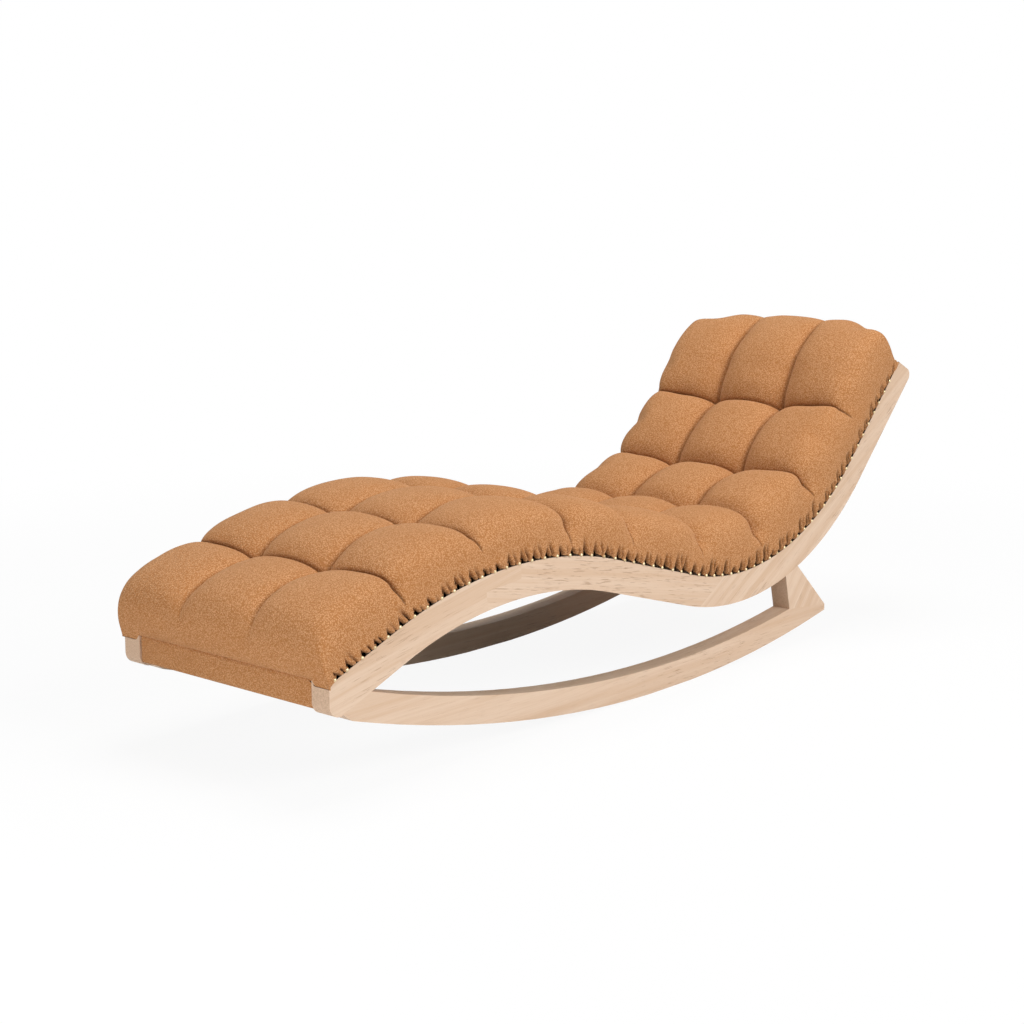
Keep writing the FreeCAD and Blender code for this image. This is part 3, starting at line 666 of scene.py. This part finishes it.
# Each line: along and above the rail over the middle, then the same for the cloth's nailed edge
foot_roll = [(0.0400, 0.0659, 0.0216, 0.0600), (0.0326, 0.0637, 0.0216, 0.0600),
             (0.0276, 0.0687, 0.0216, 0.0602), (0.0243, 0.0780, 0.0225, 0.0606),
             (0.0231, 0.0941, 0.0245, 0.0616), (0.0245, 0.1140, 0.0290, 0.0634),
             (0.0307, 0.1352, 0.0370, 0.0652), (0.0438, 0.1547, 0.0480, 0.0664),
             (0.0648, 0.1698, 0.0660, 0.0665), (0.0982, 0.1775, 0.0980, 0.0665)]
head_roll = [(2.030, 0.2145, 2.020, 0.0675), (2.075, 0.2110, 2.058, 0.0675),
             (2.115, 0.2010, 2.088, 0.0680), (2.152, 0.1850, 2.110, 0.0680),
             (2.1827, 0.1640, 2.125, 0.0680), (2.199, 0.1400, 2.133, 0.0680),
             (2.204, 0.1160, 2.1365, 0.0690), (2.196, 0.0940, 2.1380, 0.0700),
             (2.174, 0.0790, 2.1380, 0.0705), (2.146, 0.0740, 2.1380, 0.0710)]
run = [(s, rail_depth + crown(s), s, rail_depth - lap(s)) for s in np.arange(run_from, run_to, run_step)]
line_points = np.array(foot_roll + run + head_roll)
line_places = np.concatenate([[0.0], np.cumsum(np.hypot(*np.diff(line_points[:, :2], axis=0).T))])
on_run = slice(len(foot_roll), -len(head_roll))
seam_places = np.interp(row_seams, line_points[on_run, 0], line_places[on_run])
pad_end = line_places[-1]

# Across the pad, from the middle to the nails: place, distance from the middle, share of the height
profile = np.array([(0.0, 0.0, 1.0), (0.267, 0.0933, 1.0), (0.45, 0.158, 1.0), (0.55, 0.192, 0.995),
                    (0.66, 0.2290, 0.955), (0.76, 0.2580, 0.855), (0.85, 0.2765, 0.680),
                    (0.92, 0.2845, 0.420), (0.965, 0.2852, 0.210), (1.0, 0.2815, 0.0)])
print("pad is", round(float(pad_end), 3), "m long over its middle")

# %% [markdown]
# The grid has a line of points on every seam, and its columns stand closer together towards the nails, where
# the cloth turns down. Each point starts on the nailed edge and moves towards the middle line by its share
# of the height.

# %% Grid of the pad
row_gap = 0.0021
# Across each half: where a stretch of the profile ends, and how many columns it takes
half_stretches = ((0.267, 26), (0.55, 28), (0.80, 24), (0.93, 14), (1.0, 24))
places_along = [0.0]
for stop in list(seam_places) + [pad_end]:
    count = int(round((stop - places_along[-1]) / row_gap))
    places_along += list(np.linspace(places_along[-1], stop, count + 1)[1:])
places_along = np.array(places_along)
half = [0.0]
for stop, count in half_stretches:
    half += list(np.linspace(half[-1], stop, count + 1)[1:])
across = smooth_line(profile[:, 0], profile[:, 1:], np.array(half))
sideways = np.concatenate([-across[:0:-1, 0], across[:, 0]])
height_share = np.concatenate([across[:0:-1, 1], across[:, 1]])

lines = smooth_line(line_places, line_points, places_along)
top_along, top_height, edge_along, edge_height = (lines[:, n:n + 1] for n in range(4))
place = places_along[:, None]
x = np.repeat(sideways[None, :], len(places_along), axis=0)
from_middle = np.abs(x)
print("pad grid", x.shape)

# %% [markdown]
# Three places need more than the profile. At the foot fold the cloth steps down from the panel to the ends of
# the rails; at the foot and along the back the pad is stuffed fuller, out to its edges; and the head's two
# corners are rounded off.

# %% Full form of the pad
foot_step, fold_along = (0.232, 0.246), 0.055
foot_fullness, full_foot = 0.40, (0.15, 0.40)
back_fullness, full_from_seam, full_to_seam = 0.55, 5, 7
corner_across, corner_from_end = (0.142, 0.340), (0.195, 0.10)
cut_beyond, cut_along = 2.037, 0.70
cut_above, cut_height = 0.10, 0.100


def to_head(far, near):
    """0 further than far from the pad's head end, 1 nearer than near."""
    return ease(place, pad_end - far, pad_end - near)


fold_share = 1.0 - ease(from_middle, *foot_step)
share = fold_share + (height_share[None, :] - fold_share) * ease(place, 0.0, fold_along)
boxy = np.maximum(foot_fullness * (1.0 - ease(place, *full_foot)),
                  back_fullness * ease(place, seam_places[full_from_seam], seam_places[full_to_seam]))
share = 1.0 - np.maximum(1.0 - share, 0.0) ** (1.0 + boxy)
corner = ease(from_middle, *corner_across) * to_head(*corner_from_end)
round_along = top_along - corner * np.maximum(top_along - cut_beyond, 0.0) * cut_along
round_height = top_height - corner * np.maximum(top_height - cut_above, 0.0) * cut_height
along = edge_along + (round_along - edge_along) * share
height = edge_height + (round_height - edge_height) * share
full_form = np.stack([x, *rail_at(along, height)], axis=-1)
print("full form stands", round(float(full_form[..., 2].max()), 3), "m high")

# %% [markdown]
# Tufting pulls the cloth down along seams between the cushions. Near a seam the cloth drops steeply and in
# the middle of a cushion it is nearly flat, which is the look of a well filled pad. The depth is taken off
# the full form along its own normals, so the seams also run round the nose and down the sides, where each
# one fades out above the nails.

# %% Tufting
seam_share, channel_share, tuft_share = 0.77, 0.71, 0.37
pillow_power, pillow_root = 2.1, 0.53
first_row_size, last_row_size = 0.24, 0.27
side_across, side_narrowing = (0.17, 0.276), 0.30
# Height above the rail where each row's seam ends on the side, and how softly it does
seam_ends = np.array([0.037, 0.052, 0.024, 0.038, 0.045, 0.043, 0.054, 0.080])
fade_below, fade_above = 0.008, 0.034
side_loss, full_side_loss = 0.12, 0.45
column_start, column_end, column_end_loss = (0.05, 0.16), (0.24, 0.10), 0.75


def pillow(distance, half_size):
    """0 on a seam and 1 in the middle of a cushion."""
    inward = np.clip(1.0 - distance / half_size, 0.0, 1.0)
    return (1.0 - inward ** pillow_power) ** pillow_root


def normals_of(points):
    down = np.gradient(points, axis=0)
    over = np.gradient(points, axis=1)
    normal = np.cross(over, down)
    normal /= np.linalg.norm(normal, axis=-1, keepdims=True)
    return normal


from_seams = np.abs(place - seam_places[None, :])
nearest = from_seams.argmin(axis=1)
row_distance = from_seams.min(axis=1)[:, None]
row_sizes = np.diff(seam_places)
size_before = np.concatenate([[first_row_size], row_sizes])
size_after = np.concatenate([row_sizes, [last_row_size]])
beyond_seam = places_along > seam_places[nearest]
row_half = (np.where(beyond_seam, size_after[nearest], size_before[nearest]) / 2)[:, None]
on_side = ease(from_middle, *side_across)
in_row = pillow(row_distance, row_half * (1.0 - side_narrowing * on_side))
in_column = pillow(np.abs(from_middle - column_seam), column_seam)
in_column = np.where(from_middle > 2 * column_seam, 1.0, in_column)

above_rail = height - rail_depth
low_end = seam_ends[nearest][:, None]
down_side = ease(above_rail, low_end - fade_below, low_end + fade_above)
down_side = down_side * (1.0 - (side_loss + full_side_loss * boxy) * on_side)
row_part = (1.0 - in_row) * down_side
column_part = (1.0 - in_column) * ease(place, *column_start) * (1.0 - column_end_loss * to_head(*column_end))
row_depth = 1.0 - channel_share
column_depth = 1.0 - seam_share
tuft_depth = 1.0 - tuft_share - row_depth - column_depth
depth = (row_depth * row_part + column_depth * column_part + tuft_depth * row_part * column_part)
depth = depth * crown(top_along)
print("deepest tuft", round(float(depth.max()), 4))

# %% [markdown]
# A row of stitches holds each seam down and pinches the cloth there into a narrow groove. It is added to the
# depth, and a painted shade along the line goes into the attribute that the cloth's material reads, so that
# the groove shows as a dark line. Towards the sides the line is pulled deeper and its painted shade is
# stronger.

# %% Stitching
stitch_width, stitch_depth = 0.0026, 0.0032
side_thinning, stitch_fade = 0.0006, 0.012
stitch_start, stitch_end, stitch_end_loss = (0.06, 0.16), (0.20, 0.10), 0.8
shoulder_across, shoulder_pinch = (0.13, 0.20), 0.0022
# How much painted shade the stitch line gets, and how much more on the shoulders
stitch_shade, shoulder_shade = 0.36, 0.46

stitched_down = ease(above_rail, low_end - stitch_fade, low_end)
row_line = np.exp(-(row_distance / (stitch_width - side_thinning * on_side)) ** 2) * stitched_down
column_line = np.exp(-((from_middle - column_seam) / stitch_width) ** 2) * ease(place, *stitch_start)
stitch = np.maximum(row_line, column_line * (1.0 - stitch_end_loss * to_head(*stitch_end)))
shoulder = ease(from_middle, *shoulder_across)
depth = depth + (stitch_depth + shoulder_pinch * shoulder) * stitch
# Painted shade along the stitch lines, for the cloth's material
painted_shade = (stitch_shade + shoulder_shade * shoulder) * stitch
pad_points = full_form - normals_of(full_form) * depth[:, :, None]
print("deepest with its stitches", round(float(depth.max()), 4))

# %% [markdown]
# Now the cloth has to look stuffed. The tufted grid, thinned out, goes through Blender's Cloth: the seams
# and the nailed edge are pinned, air pressure pushes the rest outwards, and the cloth is a little too large,
# as real covers are cut, so that it strains and puckers round the tufts. Gravity is off, and no point may
# move further than a centimetre. The movement is then read back and added to the fine grid, which keeps its
# sharp seams.

# %% Cloth under pressure
swell_frames, swell_limit = 20, 0.010
cloth_settings = {"vertex_group_mass": "sewn", "quality": 6, "mass": 0.4, "tension_stiffness": 20.0,
                  "compression_stiffness": 12.0, "bending_stiffness": 0.8, "shrink_min": -0.01,
                  "use_pressure": True, "uniform_pressure_force": 4.0}


def grid_faces(rows, columns):
    return [(i * columns + j, i * columns + j + 1, (i + 1) * columns + j + 1, (i + 1) * columns + j)
            for i in range(rows - 1) for j in range(columns - 1)]


def swell(points, hold):
    """Runs the pinned cloth under pressure and gives how far each point moved, smoothed where it is free."""
    cloth = mesh_object("swelling_cloth", points.reshape(-1, 3), grid_faces(*points.shape[:2]))
    pins = cloth.vertex_groups.new(name="sewn")
    levels = hold.reshape(-1).round(1)
    for level in np.unique(levels[levels > 0]):
        pins.add([int(n) for n in np.flatnonzero(levels == level)], float(level), "REPLACE")
    effect = cloth.modifiers.new("cloth", "CLOTH")
    for name, value in cloth_settings.items():
        setattr(effect.settings, name, value)
    effect.settings.effector_weights.gravity = 0.0
    effect.point_cache.frame_start, effect.point_cache.frame_end = 1, swell_frames
    for frame_number in range(1, swell_frames + 1):
        scene.frame_set(frame_number)
    shaped = cloth.evaluated_get(bpy.context.evaluated_depsgraph_get()).to_mesh()
    moved = np.empty(len(shaped.vertices) * 3)
    shaped.vertices.foreach_get("co", moved)
    moved = moved.reshape(points.shape) - points
    scene.frame_set(1)
    bpy.data.objects.remove(cloth, do_unlink=True)
    for axis in (0, 1, 0, 1):
        ahead, behind = np.roll(moved, -1, axis), np.roll(moved, 1, axis)
        moved = np.where(hold[:, :, None] > 0.5, moved, (ahead + behind + 2 * moved) / 4)
    size = np.linalg.norm(moved, axis=-1, keepdims=True)
    return moved * np.minimum(1.0, swell_limit / np.maximum(size, 1e-9))


print("the cloth will swell for", swell_frames, "frames")

# %% [markdown]
# A point is held where it is sewn or nailed, and less so a little way off. The simulation needs only every
# fourth row and third column, and its movement is then read at every point of the fine grid.

# %% Swell the pad
keep_each_row, keep_each_column = 4, 3
sewn_width, sewn_least = 0.25, 0.02
nailed_height = (0.006, 0.028)
foot_held, head_held = (0.02, 0.05), (0.05, 0.02)
corner_hold = 0.8


def spread(coarse, rows, columns, all_rows, all_columns):
    """Reads a coarse grid of vectors at every row and column of the fine one."""
    wide = np.stack([[np.interp(all_rows, rows, coarse[:, j, k]) for j in range(len(columns))]
                     for k in range(3)], axis=-1).transpose(1, 0, 2)
    return np.stack([[np.interp(all_columns, columns, wide[i, :, k]) for i in range(len(all_rows))]
                     for k in range(3)], axis=-1)


row_count, column_count = x.shape
seam_rows = [np.abs(places_along - stop).argmin() for stop in seam_places]
coarse_rows = np.unique(np.concatenate([np.arange(0, row_count, keep_each_row), [row_count - 1], seam_rows]))
coarse_columns = np.unique(np.concatenate([np.arange(0, column_count, keep_each_column), [column_count - 1]]))
picked = np.ix_(coarse_rows, coarse_columns)
seam_hold = np.maximum(1.0 - in_row / sewn_width, (1.0 - in_column / sewn_width)).clip(0.0, 1.0)
seam_hold = np.where(row_part + column_part > sewn_least, seam_hold, 0.0)
edge_hold = 1.0 - ease(height - edge_height, *nailed_height)
fold_hold = np.maximum(1.0 - ease(place, *foot_held), to_head(*head_held))
hold = np.maximum(np.maximum(seam_hold, edge_hold), fold_hold)
moved = swell(pad_points[picked], hold[picked])
print("cloth moved on average", round(float(np.linalg.norm(moved, axis=-1).mean()), 4),
      "at most", round(float(np.linalg.norm(moved, axis=-1).max()), 4))
moved = spread(moved, coarse_rows, coarse_columns, np.arange(row_count), np.arange(column_count))
pad_points = pad_points + moved * (1.0 - corner_hold * corner[:, :, None])

# %% [markdown]
# Along the rails the cloth is gathered under a row of domed nails. Each nail pins the cloth flat; between
# two nails it lifts off the wood in a small arch, and just past each nail it folds into a deep crease that
# leans over as it runs up into the pad. The creases, a notch beside each nail and, beyond the knee, a band
# along the edge are darkened in colour as painted shade. The nails' places are the same sum as in the CAD
# model: an even pitch with a small wander. Seeded random draws give each gap its own size, so that no two
# are alike.

# %% Gathers at the nails
nail_pitch, nail_first, nail_count = 0.034, 0.040, 61
nail_wander, wander_step = 0.0024, 2.3
longest_gap = 0.05
puff_out, puff_height, puff_spread = 0.0060, 0.010, 0.012
lift, lift_height = 0.0056, 0.010
crease_width, second_width, crease_opening = 0.0028, 0.0021, 0.07
crease_depth, back_depth, back_widening = 0.016, 0.005, 0.5
crease_fade, crease_top = 0.007, 0.032
nailed_from, nailed_to = (0.026, 0.040), (2.115, 2.130)
press_along, press_height = 0.0055, 0.009
# How wide the painted shade of the notch beside each nail is
notch_along, back_notch = 0.0045, 0.0015
from_knee, up_backrest = (0.8, 1.2), (1.4, 1.9)
# Painted shade: a band along the nailed edge beyond the knee, and how much darker creases and notches are
# painted there
shade_share, shade_height, back_shade_height = 0.38, 0.010, 0.004
knee_darkening, darkest = 0.8, 1.1
draws = np.random.default_rng(11)


def nail_places(side):
    n = np.arange(nail_count)
    return nail_first + nail_pitch * n + nail_wander * np.sin(wander_step * n * (n + side))


def bell(distance, width):
    return np.exp(-(distance / width) ** 2)


def gather(side):
    """Outward and upward moves of the cloth near one row of nails, the painted shade of its creases, notches
    and edge band, and how flat the nails press it."""
    at_nails = np.concatenate([[-0.2], nail_places(side), [3.0]])
    edge = edge_along[:, 0]
    n = np.clip(np.searchsorted(at_nails, edge, side="right") - 1, 0, len(at_nails) - 2)

    def drawn(low, high):
        """One draw for each gap between nails, read at every row of the grid."""
        return draws.uniform(low, high, len(at_nails))[n]

    past = (edge - at_nails[n])[:, None]
    gap = np.minimum(at_nails[n + 1] - at_nails[n], longest_gap)[:, None]
    strength = drawn(0.75, 1.25)[:, None]
    grown = np.interp(edge, (0.0, 0.8, 1.3, 1.7, 2.1), (1.0, 1.0, 1.15, 1.25, 1.15))
    tall = (drawn(0.55, 1.40) * grown)[:, None]
    second = drawn(0.30, 0.52)[:, None]
    faint = drawn(0.15, 0.85)[:, None]
    start = drawn(0.14, 0.30)[:, None]
    lean = np.interp(edge, (0.0, 0.9, 1.6, 2.1), (-0.5, -0.2, 0.4, 0.8))[:, None]
    beyond_knee, up_back = ease(edge, *from_knee)[:, None], ease(edge, *up_backrest)[:, None]

    up = np.maximum(height - edge_height, 0.0)
    share = np.clip(past / gap, 0.0, 1.0)
    arch = np.sin(np.pi * share ** 0.75) ** 0.7
    puff = puff_out * strength * arch * bell(up - puff_height, puff_spread)
    raised = lift * strength * np.sin(np.pi * share ** 0.5) * bell(up, lift_height)
    crease = np.zeros_like(up)
    for place_past, amount, width in ((start, 1.0, crease_width), (start + second, faint, second_width)):
        swing = past - place_past * gap - lean * up
        swing = swing / (width * (1.0 + back_widening * up_back) + crease_opening * up)
        crease = np.maximum(crease, amount * np.exp(-swing ** 2))
    crease = crease * (1.0 - ease(up, crease_fade * tall, crease_top * tall))

    pressed = bell(np.minimum(past, gap - past), press_along) * bell(up, press_height)
    # Painted shade: a dark notch just past each nail, a band along the edge beyond the knee, and the creases,
    # painted darker beyond the knee
    notch_shade = bell(past - start * gap, notch_along + back_notch * up_back) * bell(up, press_height)
    shade = shade_share * beyond_knee * bell(up, shade_height + back_shade_height * up_back)
    dark = np.minimum((1.0 + knee_darkening * beyond_knee) * np.maximum(crease, notch_shade), darkest)
    outward = puff - (crease_depth + back_depth * up_back) * strength * crease
    nailed = (ease(edge, *nailed_from) * (1.0 - ease(edge, *nailed_to)))[:, None]
    return outward * nailed, raised * nailed, np.maximum(dark, shade) * nailed, pressed * nailed


print(nail_count, "nails on each side")

# %% [markdown]
# The gathers move the cloth along the full form's normals and square to the rail. Under each nail head the
# cloth is then pressed flat, and everywhere else it is kept from sinking into the rail's outer face.

# %% Gather both sides
half_width = 0.280
nailed_clear, wood_clear = 0.0003, 0.0004
one_side = 0.15
beside_rail, over_rail = 0.276, 0.001

normals = normals_of(full_form)
slope = np.interp(np.clip(along, 0.0, rail_length), rail_stops, rail_slopes)
upward = np.stack([np.zeros_like(slope), -np.sin(slope), np.cos(slope)], axis=-1)
for side in (-1, 1):
    out, up, dark, pressed = gather(side)
    own = x * side > one_side
    moves = normals * out[:, :, None] + upward * up[:, :, None]
    pad_points = pad_points + np.where(own[:, :, None], moves, 0.0)
    # The gathers' painted shade joins the stitches' painted shade
    painted_shade = np.maximum(painted_shade, np.where(own, dark, 0.0))
    flat = side * (half_width + nailed_clear) - pad_points[..., 0]
    pad_points[..., 0] += np.where(own, pressed * flat, 0.0)
against_wood = (from_middle > beside_rail) & (height < rail_depth + over_rail)
kept_out = np.sign(x) * np.maximum(np.abs(pad_points[..., 0]), half_width + wood_clear)
pad_points[..., 0] = np.where(against_wood, kept_out, pad_points[..., 0])
print("cloth gathered at", 2 * nail_count, "nails")

# %% [markdown]
# The grid becomes a closed pad: the outer cloth, a thin turned edge against the rails and an underside that
# lies on the rails and the webbing. The underside is hidden, so it is plain. The turned edge and the
# underside take a near-black cloth as painted shade, which shows where the cloth lifts off the wood between
# the nails. At the foot and the head ends the outer edge has far more points than the under edge, and
# triangles join the two.

# %% Close the pad
under_edge, under_inner = 0.2804, 0.262
under_x = np.array([under_edge, under_edge, under_inner, 0.15, 0.05, -0.05, -0.15, -under_inner, -under_edge,
                    -under_edge])
under_share = np.array([0.0, 1.0, 1.0, 1.0, 1.0, 1.0, 1.0, 1.0, 1.0, 0.0])
under_height = 0.0765
under_from, under_to = 0.056, 2.128


def end_cap(across_at, outer, under, turned):
    """Triangles that join the outer and the under edge of one end, both given from left to right."""
    faces, i, j = [], 0, 0
    while i < len(outer) - 1 or j < len(under) - 1:
        at_end = j == len(under) - 1
        if at_end or (i < len(outer) - 1 and across_at[outer[i + 1]] <= across_at[under[j + 1]]):
            faces.append((outer[i], outer[i + 1], under[j]))
            i += 1
        else:
            faces.append((outer[i], under[j + 1], under[j]))
            j += 1
    return [face[::-1] for face in faces] if turned else faces


def closed_pad(points):
    """Points and faces of the whole pad, and which of its two cloths each face has."""
    rows, columns = points.shape[:2]
    ring = columns + len(under_x)
    low = edge_height + (under_height - edge_height) * under_share[None, :]
    tucked = np.clip(edge_along, under_from, under_to)
    y, z = rail_at(edge_along + (tucked - edge_along) * under_share[None, :], low)
    under = np.stack([np.repeat(under_x[None, :], rows, axis=0), y, z], axis=-1)
    both = np.concatenate([points, under], axis=1).reshape(-1, 3)
    faces = []
    for i in range(rows - 1):
        for j in range(ring):
            a, b = i * ring + j, i * ring + (j + 1) % ring
            faces.append((a, a + ring, b + ring, b))
    cloths = [1 if face[0] % ring >= columns - 1 else 0 for face in faces]
    for first in (0, (rows - 1) * ring):
        faces += end_cap(both[:, 0], list(range(first, first + columns)),
                         list(range(first + columns, first + ring))[::-1], first > 0)
    return both, faces, cloths + [1] * (len(faces) - len(cloths))


# Painted shade: a near-black cloth for the turned edge and underside, dark in the gaps under the lifted cloth
painted_shade_lining = cloth_material("painted_shade_lining", colour(58, 38, 22), colour(26, 17, 10), 0.0012)
pad_vertices, pad_faces, face_cloths = closed_pad(pad_points)
pad = mesh_object("tufted_pad", pad_vertices, pad_faces)
pad.data.materials.append(caramel_cloth)
pad.data.materials.append(painted_shade_lining)
pad.data.polygons.foreach_set("material_index", face_cloths)
# Painted shade goes to the caramel cloth's points; the turned edge and underside get none
painted_shade_values = np.zeros((row_count, len(pad_vertices) // row_count))
painted_shade_values[:, :column_count] = painted_shade
pad.data.attributes.new("painted_shade", "FLOAT", "POINT").data.foreach_set("value", painted_shade_values.reshape(-1))
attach(pad, "root")
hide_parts(*("pad_row_%d" % n for n in range(1, 10)), "cover_edge_left", "cover_edge_right")
print("pad has", len(pad_vertices), "points")

# %% [markdown]
# Plain cloth panels close the rest: a strip across the foot under the pad's nose, another behind the head,
# the outside back, and a thin dust cloth below. Each is a loop of points in the side view, swept across
# from rail to rail and capped. The cloth swells a little where it is free and lies close at its edges,
# with a turned hem, so that it reads as pulled over and tacked.

# %% Swept panels
panel_reach = 0.2355
slack_power, slack_least, slack_swing = 6, 0.8, 0.2
slack_waves, slack_start = 23.0, 1.0


def swept_panel(name, loop_at, columns, cloth, slot, *replaced):
    """Sweeps a closed side-view loop from one rail to the other; loop_at(x) gives its Y, Z points."""
    stations = np.linspace(-panel_reach, panel_reach, columns)
    loops = [loop_at(s) for s in stations]
    size = len(loops[0])
    points = [(s, y, z) for s, loop in zip(stations, loops) for y, z in loop]
    faces = []
    for i in range(columns - 1):
        for j in range(size):
            a, b = i * size + j, i * size + (j + 1) % size
            faces.append((a, b, b + size, a + size))
    faces += [tuple(range(size))[::-1], tuple(range((columns - 1) * size, columns * size))]
    piece = mesh_object(name, points, faces)
    piece.data.materials.append(cloth)
    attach(piece, "root")
    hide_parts(*replaced)
    return piece


def slack(position):
    """0 at both rails and about 1 between them, with a slow unevenness."""
    inside = 1.0 - np.abs(position / panel_reach) ** slack_power
    return inside * (slack_least + slack_swing * math.sin(position * slack_waves + slack_start))


print("panels reach", panel_reach, "m to each side")

# %% [markdown]
# The foot panel is pulled up over the front of the foot cross rail and tacked under it. Its loop runs down
# the front, which swells between the two edges, turns under, and comes back up inside.

# %% Foot panel
front_top, front_bottom, front_y = 0.2090, 0.1680, 0.0036
swell_from, swell_over, foot_swell = 0.1600, 0.056, 0.0052
under_sag = 0.0006
foot_points = 64
# The loop's heights are drawn for a rail whose underside starts here
drawn_rail_height = 0.141


def foot_loop(x_place):
    free = slack(x_place)
    loop = [(0.0150, 0.2165), (0.0085, 0.2165), (0.0052, 0.2140)]
    for height in np.linspace(front_top, front_bottom, 9):
        bulge = math.sin(math.pi * (height - swell_from) / swell_over) ** 0.7
        loop.append((front_y - foot_swell * free * bulge, height))
    loop += [(0.0044, 0.1632), (0.0072, 0.1612), (0.0130, 0.1606), (0.0220, 0.1606 - under_sag * free),
             (0.0298, 0.1612), (0.0298, 0.1634), (0.0060, 0.1636), (0.0062, 0.2060), (0.0150, 0.2135)]
    smooth = smooth_line(np.arange(len(loop)), np.array(loop), np.linspace(0.0, len(loop) - 1.0, foot_points))
    return smooth + np.array([rail_start[0], rail_start[1] - drawn_rail_height])


foot_panel = swept_panel("foot_panel", foot_loop, 96, caramel_cloth, "pad_cover", "foot_border")
print("foot panel made")

# %% [markdown]
# The outside back and the dust cloth are flat panels that follow the underside of the rails. Both sag away
# from the pad in the middle, and a small step near their long edges shows the turned hem.

# %% Outside back and dust cloth
hem_rise, hem_inset, hem_half = 0.0008, 0.014, 0.0025
panel_stations = 60


def along_panel(first, last, low, high, sag):
    """A flat panel under the rails from first to last, swelling away from the pad."""
    stations = np.linspace(first, last, panel_stations)
    reach = (stations - first) / (last - first)

    def loop(x_place):
        inside = (1.0 - np.abs(2 * reach - 1.0) ** 8) * slack(x_place)
        hem = hem_rise * (np.abs(np.abs(x_place) - panel_reach + hem_inset) < hem_half)
        outer = rail_at(stations, low - sag * inside + hem)
        inner = rail_at(stations[::-1], np.full(len(stations), high))
        return np.concatenate([np.stack(outer, axis=-1), np.stack(inner, axis=-1)])
    return loop


outside_back = swept_panel("outside_back", along_panel(1.250, 2.1225, 0.0055, 0.0078, 0.0040), 120,
                           caramel_cloth, "pad_cover", "outside_back_panel")
dust_cloth = cloth_material("black_dust_cloth", colour(46, 43, 41), colour(26, 24, 23), 0.0008)
under_cloth = swept_panel("dust_cloth", along_panel(0.0575, 1.2480, 0.0066, 0.0078, 0.0030), 60,
                          dust_cloth, "dust_cloth", "dust_cover")
print("outside back and dust cloth made")

# %% [markdown]
# The head panel covers the end of the frame behind the head cross rail. Its top turns back under the pad, so
# that no hessian shows between the two.

# %% Head panel
head_bottom, head_top = 0.0055, 0.0650
head_outer, head_inner, head_swell = 2.1262, 2.1242, 0.0020
# Where the top turns back: along the rail, then above its underside
turned_along = np.array([2.1268, 2.1292, 2.1335, 2.1385, 2.1440, 2.1440, 2.1335, 2.1256])
turned_height = np.array([0.0685, 0.0704, 0.0710, 0.0712, 0.0714, 0.0732, 0.0731, 0.0726])
inner_top = 0.0700


def head_loop(x_place):
    heights = np.linspace(head_bottom, head_top, 22)
    rise = 1.0 - np.abs(2 * (heights - heights[0]) / np.ptp(heights) - 1.0) ** 4
    outer = rail_at(head_outer + head_swell * slack(x_place) * rise, heights)
    turned = rail_at(turned_along, turned_height)
    inner = rail_at(np.full(24, head_inner), np.linspace(inner_top, head_bottom, 24))
    return np.concatenate([np.stack(part, axis=-1) for part in (outer, turned, inner)])


head_panel = swept_panel("head_panel", head_loop, 96, caramel_cloth, "pad_cover", "head_border")
print("head panel made")
